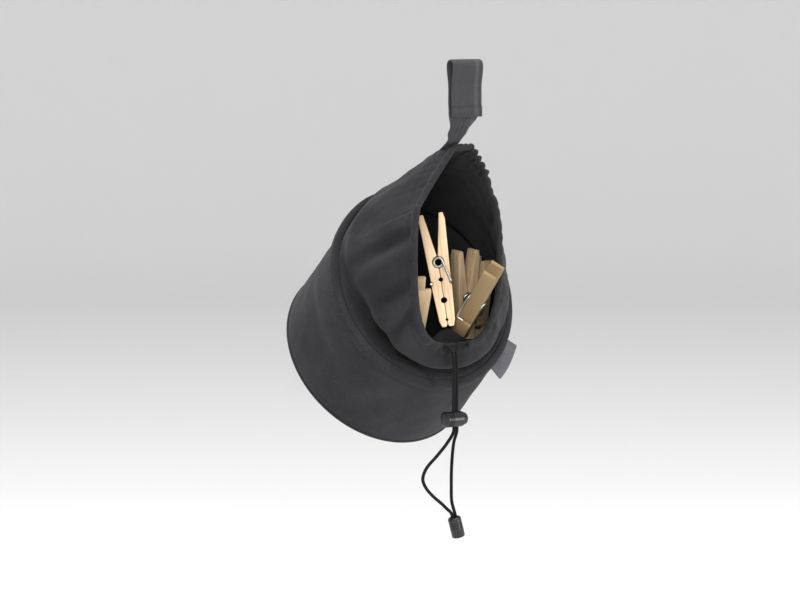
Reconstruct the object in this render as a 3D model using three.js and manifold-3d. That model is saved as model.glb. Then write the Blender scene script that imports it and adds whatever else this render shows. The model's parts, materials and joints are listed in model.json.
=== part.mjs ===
// A drawstring peg bag that hangs by a webbing strap, with wooden spring pegs standing in it.
// Millimetres, +Z up, mouth towards -Y. The origin is the axis of the rail inside the strap's loop.
import * as THREE from 'three';
import { mergeVertices } from 'three/addons/utils/BufferGeometryUtils.js';
import loadManifold from 'manifold-3d';

const wasm = await loadManifold();
wasm.setup();

// Driving dimensions, in millimetres and degrees
const fit = 0.3; // gap between pieces that touch

// Bucket: the stiff lower part of the bag
const rimRadius = 66;
const baseRadius = 65;
const bucketDepth = 70.5;
const rimCentreY = 46;
const rimCentreZ = -142.5;
const axisDip = 42; // how far the bag's axis dips from the rim to the base
const rimLean = 24.5; // how far the rim's plane leans back
const baseLean = 34.8;
const wallThickness = 1.8;
const panelThickness = 1.8;
const boardThickness = 2.4;
const boardClearance = 1.5;
const bindingThickness = 1.2;
const bindingWidth = 5;

// Collar and its hem
const collarThickness = 1.2;
const collarTuck = 8; // how far the collar reaches into the bucket
const collarLead = 2.4; // how far it runs straight out of the rim
const collarSwell = 3; // how far it swells out sideways half way to the mouth
const collarRise = 4.5; // how far its top swells upwards there
const collarHeart = 20; // how far behind the rim the point lies that the cloth's inside faces
const mouthTopZ = -51.3;
const mouthBottomZ = -177;
const mouthHalfWidth = 33;
const mouthX = -5; // how far the mouth's sides hang towards -X
const mouthY = 10;
const mouthSideForward = 9; // how far the sides of the mouth stand in front of its top and bottom
const gableStart = 0.417; // share of the mouth's half height where the sides start to draw in
const gableSlope = 1.25;
const frillReach = 11; // how far the crowded hem at the mouth's upper right stands out to the side
const frillTurns = [14, 38, 70]; // turn from the mouth's top where the frill is full, starts to end and ends
const hemRadius = 3.4;
const cordExitHalfWidth = 9;

// Slack of the collar, folded in under the pegs
const slackCrestZ = -166.4;
const slackCrestBackY = 25.5;
const slackCrestHalfWidth = 7.3;
const slackFrontZ = -170;
const slackBackY = 58;
const slackBackZ = -205;
const slackShares = [0.9, 0.5, 0]; // rows of the collar that the slack lies against

// Drawstring
const cordRadius = 1.05;
const cordClearance = 0.5;
const strandSpacing = 2.5;
const strandX = -4;
const strandY = 4.5;
const strandDrop = 9; // from the hem down to where the strands hang straight
const strandTurn = [2, -2.5]; // forward and up of the bend under the hem, from the hanging strand and the hem
const strandBends = [0.4, 0.9]; // where the strands bend on the way from the hem to their place
const lockLead = [10, 8]; // straight run above and below the lock's middle

// Cord lock
const lockZ = -222.5;
const barrelRadius = 5;
const barrelWall = 0.8;
const barrelEnd = 1;
const barrelLip = 2.6; // from the cord hole to the open end
const plungerTravel = 1.6;
const plungerWeb = 1;
const buttonLength = 2.8;
const buttonChamfer = 1;
const lockSpringLength = 3.3;
const lockSpringWire = 0.25; // radius of the wire
const lockSpringRadius = 2.6;
const lockSpringTurns = 2;

// Cord end
const endX = -4.1;
const endY = 5.5;
const endTopZ = -284.9;
const endLength = 13.2;
const endRadius = 4.2;
const endWall = 0.9;
const endPlugLength = 7;
const endTilt = 16; // leans towards +X at the bottom
const endLead = 3; // straight end of each strand

// Strap
const strapWidth = 23;
const strapThickness = 1.2;
const loopRadius = 2.6; // inside of the arch over the rail
const flapLength = 32;
const closureTop = 12; // depth below the rail where the two layers meet
const tapeThickness = 0.6;
const tapeWidth = 20;
const tapeMargin = 1.5;
const strapFootWidth = 14;
const strapFootY = 9;
const strapFootZ = -43.4;
const strapTailWidth = 10;
const tailShares = [0.8, 0.7]; // where on the collar the sewn end lies

// Label
const labelLength = 26;
const labelHeight = 8;
const labelThickness = 1;
const labelAngle = 134.5; // round the rim, from its top towards +X
const labelDepth = 2.2;

// Pegs
const pegLength = 72;
const pegWidth = 9.4;
const jawThickness = 5;
const waistThickness = 6.4;
const handleInner = 4.6;
const handleOuter = 8.4;
const pivotHeight = 41;
const hookHeight = 28;
const hookGrooveDepth = 1.2;
const hookGrooveTop = 1.4; // half the groove's height at the leg's face
const hookGrooveFloor = 0.8;
const hookLand = 4; // plain wood under the groove
const jawTaper = 4;
const jawChamfer = 1.2;
const jawMouth = [0.8, 1.5]; // bevel between the jaws' tips, across and along
const shoulder = 0.6; // how far the leg thickens from the groove to the spring
const seatLip = [0.2, 0.4, 0.8]; // land round the spring's seat: across, below and above
const handleTaper = 4;
const handleChamfer = 0.9;
const handleTip = [0.4, 2]; // bevel inside the handle's tip, across and along
const springWire = 0.8; // radius of the wire
const coilRadius = 2.8;
const coilTurns = 3;
const hookReach = 3.5;
const pegViewX = -0.564; // direction that a peg with no turn shows its side to
const pegViewY = -0.821;
const lineGrooves = [[30, 1.4], [16.8, 2], [4.4, 0.9]]; // height and radius of the jaw's grooves

// Where each peg's jaws stand, where its handles lean, and its turn about its own length
const pegs = [
  { x: 0, y: 18, lean: [-5.5, 11.3, 70.6], turn: 0 },
  { x: 30.2, y: 45.5, lean: [-2.4, -7.3, 72.5], turn: 35 },
  { x: 43.4, y: 52.4, lean: [-1.6, -12, 71], turn: -50 },
  { x: 16.2, y: 36, lean: [-3.6, -50, 51.7], turn: -100 },
  { x: -6, y: 54, lean: [-16, -38, 60], turn: -70 },
];

const ringCount = 40;
const ringStep = 0.01; // turn between the two points that give a ring's direction
const collarShares = [0, 0.25, 0.5, 0.75, 1]; // rows of the collar, from the rim to the hem
const curlSteps = 8;
const wireSides = 5;
const cordSides = 8;
const lockSides = 20;
const endSides = 16;

// Materials
const cloth = new THREE.MeshStandardMaterial({ color: 0x3a3a3d, roughness: 0.92, metalness: 0 });
const thinCloth = new THREE.MeshStandardMaterial({ color: 0x333336, roughness: 0.9, metalness: 0 });
const webbing = new THREE.MeshStandardMaterial({ color: 0x4b4b4e, roughness: 0.85, metalness: 0 });
const cordage = new THREE.MeshStandardMaterial({ color: 0x1b1b1c, roughness: 0.8, metalness: 0 });
const plastic = new THREE.MeshStandardMaterial({ color: 0x222224, roughness: 0.45, metalness: 0 });
const board = new THREE.MeshStandardMaterial({ color: 0x2a2a2a, roughness: 0.6, metalness: 0 });
const labelCloth = new THREE.MeshStandardMaterial({ color: 0x64646a, roughness: 0.8, metalness: 0 });
const wood = new THREE.MeshStandardMaterial({ color: 0xdcc091, roughness: 0.7, metalness: 0 });
const steel = new THREE.MeshStandardMaterial({ color: 0xb9b6ad, roughness: 0.35, metalness: 0.9 });

const part = new THREE.Group();
const lerp = THREE.MathUtils.lerp;
const radians = THREE.MathUtils.degToRad;
const ringAngles = Array.from({ length: ringCount }, (_, i) => (2 * Math.PI * i) / ringCount);

function addPiece(name, geometry, material, parent = part) {
  const mesh = new THREE.Mesh(geometry, material.clone());
  mesh.name = name;
  parent.add(mesh);
  return mesh;
}

// Closed surfaces through rings of points

function signedVolume(points, index) {
  let volume = 0;
  for (let i = 0; i < index.length; i += 3) {
    const [a, b, c] = [points[index[i]], points[index[i + 1]], points[index[i + 2]]];
    volume += a.dot(b.clone().cross(c));
  }
  return volume;
}

function geometryFrom(points, index) {
  const facing = signedVolume(points, index) < 0 ? index.slice().reverse() : index;
  const geometry = new THREE.BufferGeometry().setFromPoints(points);
  geometry.setIndex(facing);
  return geometry;
}

function joinRings(rings, isLoop) {
  const count = rings[0].length;
  const index = [];
  const rows = isLoop ? rings.length : rings.length - 1;
  for (let row = 0; row < rows; row += 1) {
    const here = row * count;
    const there = ((row + 1) % rings.length) * count;
    for (let i = 0; i < count; i += 1) {
      const next = (i + 1) % count;
      index.push(here + i, there + i, there + next);
      index.push(here + i, there + next, here + next);
    }
  }
  return index;
}

// Rings joined in a loop, the last to the first, as a hollow shell
function shellThrough(rings) {
  return geometryFrom(rings.flat(), joinRings(rings, true));
}

function middleOf(ring) {
  const sum = ring.reduce((total, point) => total.add(point), new THREE.Vector3());
  return sum.divideScalar(ring.length);
}

// Rings joined in a row, with both ends closed
function solidThrough(rings) {
  const points = rings.flat();
  const index = joinRings(rings, false);
  const count = rings[0].length;
  const last = (rings.length - 1) * count;
  const [firstMiddle, lastMiddle] = [points.length, points.length + 1];
  points.push(middleOf(rings[0]), middleOf(rings.at(-1)));
  for (let i = 0; i < count; i += 1) {
    const next = (i + 1) % count;
    index.push(i, next, firstMiddle);
    index.push(last + next, last + i, lastMiddle);
  }
  return geometryFrom(points, index);
}

// A round wire along a row of points
function wireAlong(points, radius) {
  const rings = [];
  let side = new THREE.Vector3(0.3, 0.5, 0.8);
  points.forEach((point, i) => {
    const before = points[Math.max(i - 1, 0)];
    const after = points[Math.min(i + 1, points.length - 1)];
    const along = after.clone().sub(before).normalize();
    side = side.clone().addScaledVector(along, -side.dot(along)).normalize();
    const other = along.clone().cross(side);
    rings.push(Array.from({ length: wireSides }, (_, k) => {
      const turn = (2 * Math.PI * k) / wireSides;
      return point.clone()
        .addScaledVector(side, radius * Math.cos(turn))
        .addScaledVector(other, radius * Math.sin(turn));
    }));
  });
  return solidThrough(rings);
}

function leastGap(points, radius) {
  const separate = 4 * radius;
  const alongTo = [0];
  for (let i = 1; i < points.length; i += 1) {
    alongTo.push(alongTo[i - 1] + points[i].distanceTo(points[i - 1]));
  }
  let least = Infinity;
  for (let i = 0; i < points.length; i += 1) {
    for (let j = i + 1; j < points.length; j += 1) {
      if (alongTo[j] - alongTo[i] > separate) {
        least = Math.min(least, points[i].distanceTo(points[j]) - 2 * radius);
      }
    }
  }
  return least;
}

function circle(radius, sides) {
  const shape = new THREE.Shape();
  for (let i = 0; i < sides; i += 1) {
    const turn = (2 * Math.PI * i) / sides;
    const [x, y] = [radius * Math.cos(turn), radius * Math.sin(turn)];
    if (i === 0) shape.moveTo(x, y);
    else shape.lineTo(x, y);
  }
  return shape;
}

function tubeAlong(shape, curve, steps) {
  return new THREE.ExtrudeGeometry(shape, { extrudePath: curve, steps, bevelEnabled: false });
}

// Solids for cutting and joining

function toSolid(geometry) {
  const bare = geometry.clone();
  bare.deleteAttribute('normal');
  bare.deleteAttribute('uv');
  const merged = mergeVertices(bare, 1e-4);
  const vertProperties = new Float32Array(merged.getAttribute('position').array);
  const triVerts = new Uint32Array(merged.getIndex().array);
  return new wasm.Manifold(new wasm.Mesh({ numProp: 3, vertProperties, triVerts }));
}

function fromSolid(solid) {
  const mesh = solid.getMesh();
  const geometry = new THREE.BufferGeometry();
  geometry.setAttribute('position', new THREE.BufferAttribute(mesh.vertProperties, 3));
  geometry.setIndex(new THREE.BufferAttribute(mesh.triVerts, 1));
  return geometry;
}

// Bucket

function bucketPoint(depth, offset, angle) {
  const share = depth / bucketDepth;
  const lean = radians(lerp(rimLean, baseLean, share));
  const radius = lerp(rimRadius, baseRadius, share) + offset;
  const centreY = rimCentreY + depth * Math.cos(radians(axisDip));
  const centreZ = rimCentreZ - depth * Math.sin(radians(axisDip));
  return new THREE.Vector3(
    radius * Math.sin(angle),
    centreY + radius * Math.cos(angle) * Math.sin(lean),
    centreZ + radius * Math.cos(angle) * Math.cos(lean),
  );
}

function bucketRing(depth, offset) {
  return ringAngles.map((angle) => bucketPoint(depth, offset, angle));
}

function addBucket() {
  const inside = -wallThickness;
  addPiece('bucket_wall', shellThrough([
    bucketRing(0, 0),
    bucketRing(bucketDepth, 0),
    bucketRing(bucketDepth, inside),
    bucketRing(0, inside),
  ]), cloth);
  const panelEdge = inside - fit;
  const panelInside = bucketDepth - panelThickness;
  addPiece('base_panel', solidThrough([
    bucketRing(bucketDepth, panelEdge),
    bucketRing(panelInside, panelEdge),
  ]), cloth);
  const boardEdge = inside - boardClearance;
  const boardBack = panelInside - fit;
  addPiece('base_board', solidThrough([
    bucketRing(boardBack, boardEdge),
    bucketRing(boardBack - boardThickness, boardEdge),
  ]), board);
  const bindingFront = -fit - bindingThickness;
  const outerFace = fit + bindingThickness;
  const innerFace = inside - fit - bindingThickness;
  addPiece('rim_binding', shellThrough([
    bucketRing(bindingWidth, outerFace),
    bucketRing(bindingFront, outerFace),
    bucketRing(bindingFront, innerFace),
    bucketRing(bindingWidth, innerFace),
    bucketRing(bindingWidth, inside - fit),
    bucketRing(-fit, inside - fit),
    bucketRing(-fit, fit),
    bucketRing(bindingWidth, fit),
  ]), webbing);
}

// Mouth: round below, drawn in to a gable at the top

function frill(angle) {
  const turn = THREE.MathUtils.euclideanModulo(THREE.MathUtils.radToDeg(angle) + 180, 360) - 180;
  const [full, from, to] = frillTurns;
  const smoothstep = THREE.MathUtils.smoothstep;
  return frillReach * smoothstep(turn, 0, full) * (1 - smoothstep(turn, from, to));
}

function mouthPoint(angle) {
  const height = Math.cos(angle);
  const side = Math.sign(Math.sin(angle));
  const gable = 1 - gableSlope * Math.max(0, height - gableStart);
  const upper = Math.sqrt(Math.max(0, 1 - height * height)) * gable;
  const lower = Math.cbrt(Math.max(0, 1 - Math.abs(height) ** 3));
  const spread = height > 0 ? upper : lower;
  return new THREE.Vector3(
    side * spread * mouthHalfWidth + mouthX * spread + frill(angle),
    mouthY - mouthSideForward * spread * spread,
    lerp(mouthBottomZ, mouthTopZ, (height + 1) / 2),
  );
}

const collarOffset = -wallThickness - bindingThickness - 2 * fit;

// The line that the collar's cloth follows from the rim to the middle of the hem, with the
// directions along the hem, square to it in the cloth, and out of the cloth towards the inside
function collarRun(angle) {
  const start = bucketPoint(-collarLead, collarOffset, angle);
  const end = mouthPoint(angle);
  const direction = end.clone().sub(start).normalize();
  const along = mouthPoint(angle + ringStep).sub(mouthPoint(angle - ringStep)).normalize();
  const square = direction.clone().addScaledVector(along, -direction.dot(along)).normalize();
  const inward = along.clone().cross(square);
  const heart = new THREE.Vector3(0, rimCentreY + collarHeart, rimCentreZ);
  if (inward.dot(heart.sub(end)) < 0) inward.negate();
  return { start, end, square, inward };
}

// A point of the collar: share 0 leaves the rim, 1 meets the hem
function collarPoint(angle, share, inset) {
  const { start, end, square, inward } = collarRun(angle);
  const seat = end.addScaledVector(square, -hemRadius - fit);
  const point = start.lerp(seat, share);
  const swell = Math.sin(Math.PI * share);
  point.x += collarSwell * swell * Math.sin(angle);
  point.z += collarRise * swell * Math.max(0, Math.cos(angle));
  return point.addScaledVector(inward, inset);
}

function collarRing(share, inset) {
  return ringAngles.map((angle) => collarPoint(angle, share, inset));
}

function addCollar() {
  const outside = [
    bucketRing(collarTuck, collarOffset),
    ...collarShares.map((share) => collarRing(share, 0)),
  ];
  const inside = [
    ...collarShares.map((share) => collarRing(share, collarThickness)).reverse(),
    bucketRing(collarTuck, collarOffset - collarThickness),
  ];
  addPiece('collar', shellThrough([...outside, ...inside]), thinCloth);
}

const slackFrontY = mouthY + hemRadius + fit;

// The folded slack slopes down from the mouth to the back, with a crest in the middle of the mouth
function slackTop(x, y) {
  const onCrest = Math.abs(x) < slackCrestHalfWidth && y < slackCrestBackY;
  if (onCrest) return slackCrestZ;
  return lerp(slackFrontZ, slackBackZ, (y - slackFrontY) / (slackBackY - slackFrontY));
}

// A block of the slack under a line of [y, z] points, with its middle on the plane of symmetry
function slackBlock(line, halfWidth) {
  const bottomZ = rimCentreZ - 2 * baseRadius;
  const outline = [...line, [line.at(-1)[0], bottomZ], [line[0][0], bottomZ]];
  const shape = new THREE.Shape(outline.map(([y, z]) => new THREE.Vector2(y, z)));
  const block = new THREE.ExtrudeGeometry(shape, { depth: 2 * halfWidth, bevelEnabled: false });
  block.translate(0, 0, -halfWidth);
  const [alongY, alongZ] = [new THREE.Vector3(0, 1, 0), new THREE.Vector3(0, 0, 1)];
  block.applyMatrix4(new THREE.Matrix4().makeBasis(alongY, alongZ, new THREE.Vector3(1, 0, 0)));
  return toSolid(block);
}

function addSlack() {
  const liner = collarThickness + fit;
  const inside = solidThrough([
    ...slackShares.map((share) => collarRing(share, liner)),
    bucketRing(collarTuck, collarOffset - liner),
    bucketRing(bucketDepth - panelThickness - boardThickness - 2 * fit, collarOffset - liner),
  ]);
  const slope = slackBlock([[slackFrontY, slackFrontZ], [slackBackY, slackBackZ]], baseRadius);
  const crestLine = [[slackFrontY, slackCrestZ], [slackCrestBackY, slackCrestZ]];
  const crest = slackBlock(crestLine, slackCrestHalfWidth);
  addPiece('collar_slack', fromSolid(toSolid(inside).intersect(slope.add(crest))), thinCloth);
}

// Hem and drawstring

function exitAngle() {
  const spread = cordExitHalfWidth / mouthHalfWidth;
  return Math.acos(-Math.cbrt(1 - spread ** 3));
}

// Eight-sided sections round the hem's line, with one corner towards the collar
function hemSections(radius) {
  const exit = exitAngle();
  const inner = ringAngles.map((angle) => (angle > Math.PI ? angle - 2 * Math.PI : angle));
  const open = inner.filter((angle) => Math.abs(angle) < exit).sort((a, b) => a - b);
  return [-exit, ...open, exit].map((angle) => {
    const { end, square, inward } = collarRun(angle);
    return Array.from({ length: cordSides }, (_, k) => {
      const turn = (2 * Math.PI * k) / cordSides;
      return end.clone()
        .addScaledVector(square, radius * Math.cos(turn))
        .addScaledVector(inward, radius * Math.sin(turn));
    });
  });
}

function addHem() {
  const bore = cordRadius + cordClearance;
  addPiece('mouth_hem', shellThrough([...hemSections(hemRadius), ...hemSections(bore).reverse()]), thinCloth);
  addPiece('drawstring', solidThrough(hemSections(cordRadius)), cordage);
}

// The route of each free strand, from the hem through the lock to the cord end
const strandRoutes = {
  cord_strand_left: {
    side: -1,
    steps: 24,
    loop: [[-9.4, 5.2, -237.2], [-17, 5.5, -244.9], [-25.6, 5.5, -252.8], [-28.1, 5.5, -258.9],
      [-26.2, 5.5, -264], [-21, 5.5, -269.8], [-13.8, 5.5, -275.6], [-9.2, 5.5, -279.6]],
  },
  cord_strand_right: {
    side: 1,
    steps: 20,
    loop: [[-4.4, 5.2, -237], [-5.8, 5.5, -250], [-6.2, 5.5, -264], [-5.8, 5.5, -275]],
  },
};

// A point above the top of the tilted cord end
function endPoint(across, height) {
  const tilt = radians(endTilt);
  return [
    endX + across * Math.cos(tilt) - height * Math.sin(tilt),
    endY,
    endTopZ + across * Math.sin(tilt) + height * Math.cos(tilt),
  ];
}

function strandCurve({ side, loop }) {
  const x = strandX + (side * strandSpacing) / 2;
  const hemEnd = mouthPoint(Math.PI - side * (Math.PI - exitAngle()));
  const points = [
    [hemEnd.x - side * fit, hemEnd.y, hemEnd.z],
    [lerp(hemEnd.x, x, strandBends[0]), hemEnd.y, hemEnd.z],
    [lerp(hemEnd.x, x, strandBends[1]), strandY + strandTurn[0], hemEnd.z + strandTurn[1]],
    [x, strandY, mouthBottomZ - strandDrop],
    [x, strandY, lockZ + lockLead[0]],
    [x, strandY, lockZ],
    [x, strandY, lockZ - lockLead[1]],
    ...loop,
    ...[endLead, fit].map((height) => endPoint((side * strandSpacing) / 2, height)),
  ];
  const vectors = points.map((point) => new THREE.Vector3(...point));
  return new THREE.CatmullRomCurve3(vectors, false, 'centripetal');
}

function addStrands() {
  for (const [name, route] of Object.entries(strandRoutes)) {
    const tube = tubeAlong(circle(cordRadius, cordSides), strandCurve(route), route.steps);
    addPiece(name, tube, cordage);
  }
}

// Round solids about their own Y axis, from rings of [radius, height]
function turned(profile, sides) {
  return solidThrough(profile.map(([radius, height]) => Array.from({ length: sides }, (_, i) => {
    const turn = (2 * Math.PI * i) / sides;
    return new THREE.Vector3(radius * Math.cos(turn), height, radius * Math.sin(turn));
  })));
}

// A slot with round ends, cut along Z, from low to high along Y
function cordSlot(low, high, radius) {
  const shape = new THREE.Shape();
  shape.absarc(0, high - radius, radius, 0, Math.PI, false);
  shape.absarc(0, low + radius, radius, Math.PI, 2 * Math.PI, false);
  const depth = 4 * barrelRadius;
  const slot = new THREE.ExtrudeGeometry(shape, { depth, curveSegments: 6, bevelEnabled: false });
  slot.translate(0, 0, -depth / 2);
  return toSolid(slot);
}

function helix(radius, low, high, turns) {
  const steps = Math.round(turns * curlSteps);
  return Array.from({ length: steps + 1 }, (_, i) => {
    const turn = (2 * Math.PI * turns * i) / steps;
    return new THREE.Vector3(radius * Math.cos(turn), lerp(low, high, i / steps), radius * Math.sin(turn));
  });
}

// The lock's axis runs along +X, its button at the +X end and its cord hole at its own origin
function addCordLock() {
  const lock = new THREE.Group();
  lock.position.set(strandX, strandY, lockZ);
  lock.rotation.z = -Math.PI / 2;
  part.add(lock);
  const holeRadius = cordRadius + fit;
  const holeReach = strandSpacing / 2 + holeRadius;
  const boreRadius = barrelRadius - barrelWall;
  const openEnd = holeReach + barrelLip;
  const plungerBack = -holeReach - plungerWeb;
  const boreEnd = plungerBack - lockSpringLength - 2 * fit;
  const barrel = turned([
    [barrelRadius, boreEnd - barrelEnd],
    [barrelRadius, openEnd],
    [boreRadius, openEnd],
    [boreRadius, boreEnd],
  ], lockSides);
  const hole = cordSlot(-holeReach, holeReach, holeRadius);
  addPiece('cord_lock_barrel', fromSolid(toSolid(barrel).subtract(hole)), plastic, lock);
  const plungerRadius = boreRadius - fit;
  const buttonEnd = openEnd + buttonLength;
  const plunger = turned([
    [plungerRadius, plungerBack],
    [plungerRadius, buttonEnd - buttonChamfer],
    [plungerRadius - buttonChamfer, buttonEnd],
  ], lockSides);
  const slot = cordSlot(-holeReach, holeReach + plungerTravel + fit, holeRadius);
  addPiece('cord_lock_plunger', fromSolid(toSolid(plunger).subtract(slot)), plastic, lock);
  const springLow = boreEnd + fit + lockSpringWire;
  const springHigh = plungerBack - fit - lockSpringWire;
  const coil = helix(lockSpringRadius, springLow, springHigh, lockSpringTurns);
  addPiece('cord_lock_spring', wireAlong(coil, lockSpringWire), steel, lock);
  console.log('cord lock spring least gap', leastGap(coil, lockSpringWire).toFixed(2));
}

function addCordEnd() {
  const end = new THREE.Group();
  end.position.set(endX, endY, endTopZ);
  end.rotation.set(-Math.PI / 2, -radians(endTilt), 0, 'YXZ');
  part.add(end);
  const cavity = endRadius - endWall;
  addPiece('cord_end_shell', turned([
    [endRadius - endWall, 0],
    [endRadius, endWall],
    [endRadius, endLength],
    [cavity, endLength],
    [cavity, endWall],
  ], endSides), plastic, end);
  addPiece('cord_end_plug', turned([
    [cavity - fit, endLength - endPlugLength],
    [cavity - fit, endLength],
  ], endSides), plastic, end);
}

// A band of webbing through stations of [y, z, width]
function ribbon(stations, thickness) {
  const middles = stations.map(([y, z]) => new THREE.Vector2(y, z));
  return solidThrough(stations.map(([y, z, width], i) => {
    const before = middles[Math.max(i - 1, 0)];
    const after = middles[Math.min(i + 1, middles.length - 1)];
    const along = after.clone().sub(before).normalize();
    const [outY, outZ] = [(-along.y * thickness) / 2, (along.x * thickness) / 2];
    const half = width / 2;
    return [[-half, 1], [half, 1], [half, -1], [-half, -1]].map(([x, face]) => (
      new THREE.Vector3(x, y + face * outY, z + face * outZ)
    ));
  }));
}

function addStrap() {
  const layerY = fit / 2 + tapeThickness + fit + strapThickness / 2;
  const archRadius = loopRadius + strapThickness / 2;
  const archSteps = 10;
  const arch = Array.from({ length: archSteps + 1 }, (_, i) => {
    const turn = Math.PI * (1 - i / archSteps);
    return [archRadius * Math.cos(turn), fit + archRadius * Math.sin(turn), strapWidth];
  });
  addPiece('strap_band', ribbon([
    ...arch,
    [archRadius, -loopRadius, strapWidth],
    [layerY, -closureTop, strapWidth],
    [layerY, -flapLength, strapWidth],
    [strapFootY, strapFootZ, strapFootWidth],
  ], strapThickness), webbing);
  addPiece('strap_flap', ribbon([
    [-archRadius, 0, strapWidth],
    [-archRadius, -loopRadius, strapWidth],
    [-layerY, -closureTop, strapWidth],
    [-layerY, -flapLength, strapWidth],
  ], strapThickness), webbing);
  const tapeLength = flapLength - closureTop - 2 * tapeMargin;
  const tapeY = (fit + tapeThickness) / 2;
  const tapes = { hook_tape: -tapeY, loop_tape: tapeY };
  for (const [name, y] of Object.entries(tapes)) {
    const tape = new THREE.BoxGeometry(tapeWidth, tapeThickness, tapeLength);
    addPiece(name, tape, cordage).position.set(0, y, -closureTop - tapeMargin - tapeLength / 2);
  }
  const { end, inward } = collarRun(0);
  const rest = fit + strapThickness / 2;
  const tail = [
    end.addScaledVector(inward, -hemRadius - rest),
    ...tailShares.map((share) => collarPoint(0, share, -rest)),
  ];
  addPiece('strap_tail', ribbon([
    [strapFootY + fit / 2, strapFootZ - fit, strapFootWidth],
    ...tail.map((point) => [point.y, point.z, strapTailWidth]),
  ], strapThickness), webbing);
}

function addLabel() {
  const angle = radians(labelAngle);
  const root = fit + bindingThickness + fit;
  const foot = bucketPoint(labelDepth, root, angle);
  const radial = bucketPoint(labelDepth, root + 1, angle).sub(foot).normalize();
  const round = bucketPoint(labelDepth, root, angle + ringStep).sub(foot).normalize();
  const flat = round.clone().cross(radial);
  const tag = new THREE.BoxGeometry(labelLength, labelHeight, labelThickness);
  const label = addPiece('label_tag', tag, labelCloth);
  label.setRotationFromMatrix(new THREE.Matrix4().makeBasis(round, radial, flat));
  label.position.copy(foot.addScaledVector(radial, labelHeight / 2));
}

// Pegs: X across the two legs, Y from the jaws to the handles, Z along the spring's axis

const coilSeat = coilRadius + springWire + fit;
const legGap = fit / 2;

function legShape() {
  const grooveTop = waistThickness - hookGrooveDepth;
  const seatSteps = 6;
  const seatOpen = Math.acos((2 * legGap) / coilSeat);
  const seat = Array.from({ length: seatSteps + 1 }, (_, i) => {
    const turn = lerp(seatOpen, -seatOpen, i / seatSteps);
    return [coilSeat * Math.cos(turn), pivotHeight + coilSeat * Math.sin(turn)];
  });
  const grooves = lineGrooves.flatMap(([height, radius]) => [
    [legGap, height + radius],
    [radius, height + radius / 2],
    [radius, height - radius / 2],
    [legGap, height - radius],
  ]);
  return new THREE.Shape([
    [legGap + jawMouth[0], 0],
    [jawThickness - jawChamfer, 0],
    [jawThickness, jawTaper],
    [waistThickness, hookHeight - hookLand],
    [waistThickness, hookHeight - hookGrooveTop],
    [grooveTop, hookHeight - hookGrooveFloor],
    [grooveTop, hookHeight + hookGrooveFloor],
    [waistThickness, hookHeight + hookGrooveTop],
    [waistThickness + shoulder, pivotHeight + coilSeat],
    [handleOuter, pegLength - handleTaper],
    [handleOuter - handleChamfer, pegLength],
    [handleInner + handleTip[0], pegLength],
    [handleInner, pegLength - handleTip[1]],
    [2 * legGap + seatLip[0], pivotHeight + coilSeat + seatLip[2]],
    ...seat,
    [legGap, pivotHeight - coilSeat - seatLip[1]],
    ...grooves,
    [legGap, jawMouth[1]],
  ].map(([x, y]) => new THREE.Vector2(x, y)));
}

function springPoints() {
  const armZ = pegWidth / 2 + fit + springWire;
  const hookX = waistThickness - hookGrooveDepth + fit + springWire;
  const drop = pivotHeight - hookHeight;
  const start = Math.atan2(-drop, hookX) + Math.acos(coilRadius / Math.hypot(hookX, drop));
  const sweep = Math.PI - 2 * start + 2 * Math.PI * coilTurns;
  const steps = Math.round((sweep * curlSteps) / (2 * Math.PI));
  const coil = Array.from({ length: steps + 1 }, (_, i) => {
    const turn = start + (sweep * i) / steps;
    return new THREE.Vector3(
      coilRadius * Math.cos(turn),
      pivotHeight + coilRadius * Math.sin(turn),
      lerp(armZ, -armZ, i / steps),
    );
  });
  const tipZ = pegWidth / 2 - hookReach;
  return [
    new THREE.Vector3(hookX, hookHeight, tipZ),
    new THREE.Vector3(hookX, hookHeight, armZ),
    ...coil,
    new THREE.Vector3(-hookX, hookHeight, -armZ),
    new THREE.Vector3(-hookX, hookHeight, -tipZ),
  ];
}

function pegTurn({ lean, turn }) {
  const length = new THREE.Vector3(...lean).normalize();
  const width = new THREE.Vector3(pegViewX, pegViewY, 0);
  width.addScaledVector(length, -width.dot(length)).normalize();
  width.applyAxisAngle(length, radians(turn));
  return new THREE.Matrix4().makeBasis(length.clone().cross(width), length, width);
}

// How far a peg is lifted so that the lowest corner of its jaws rests on the slack
function seatHeight({ x, y }, basis) {
  const outline = [[jawThickness - jawChamfer, 0], [jawThickness, jawTaper]];
  const corners = outline.flatMap(([across, along]) => [
    new THREE.Vector3(across, along, pegWidth / 2),
    new THREE.Vector3(across, along, -pegWidth / 2),
    new THREE.Vector3(-across, along, pegWidth / 2),
    new THREE.Vector3(-across, along, -pegWidth / 2),
  ]);
  const heights = corners.map((corner) => {
    corner.applyMatrix4(basis);
    return slackTop(x + corner.x, y + corner.y) - corner.z;
  });
  return Math.max(...heights) + fit;
}

function addPegs() {
  const fixedLeg = new THREE.ExtrudeGeometry(legShape(), { depth: pegWidth, bevelEnabled: false });
  fixedLeg.translate(0, 0, -pegWidth / 2);
  const movingLeg = fixedLeg.clone().rotateY(Math.PI);
  const path = springPoints();
  console.log('peg spring least gap', leastGap(path, springWire).toFixed(2));
  pegs.forEach((peg, i) => {
    const group = new THREE.Group();
    const basis = pegTurn(peg);
    group.setRotationFromMatrix(basis);
    group.position.set(peg.x, peg.y, seatHeight(peg, basis));
    group.name = `peg_${i + 1}`;
    part.add(group);
    addPiece(`peg_${i + 1}_leg_fixed`, fixedLeg, wood, group);
    addPiece(`peg_${i + 1}_leg_moving`, movingLeg, wood, group);
    addPiece(`peg_${i + 1}_spring`, wireAlong(path, springWire), steel, group);
  });
}

addBucket();
addCollar();
addSlack();
addHem();
addStrands();
addCordLock();
addCordEnd();
addStrap();
addLabel();
addPegs();

export default part;
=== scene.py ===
import json
from math import acos, atan2, copysign, cos, degrees, exp, hypot, pi, radians, sin, sqrt

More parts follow.
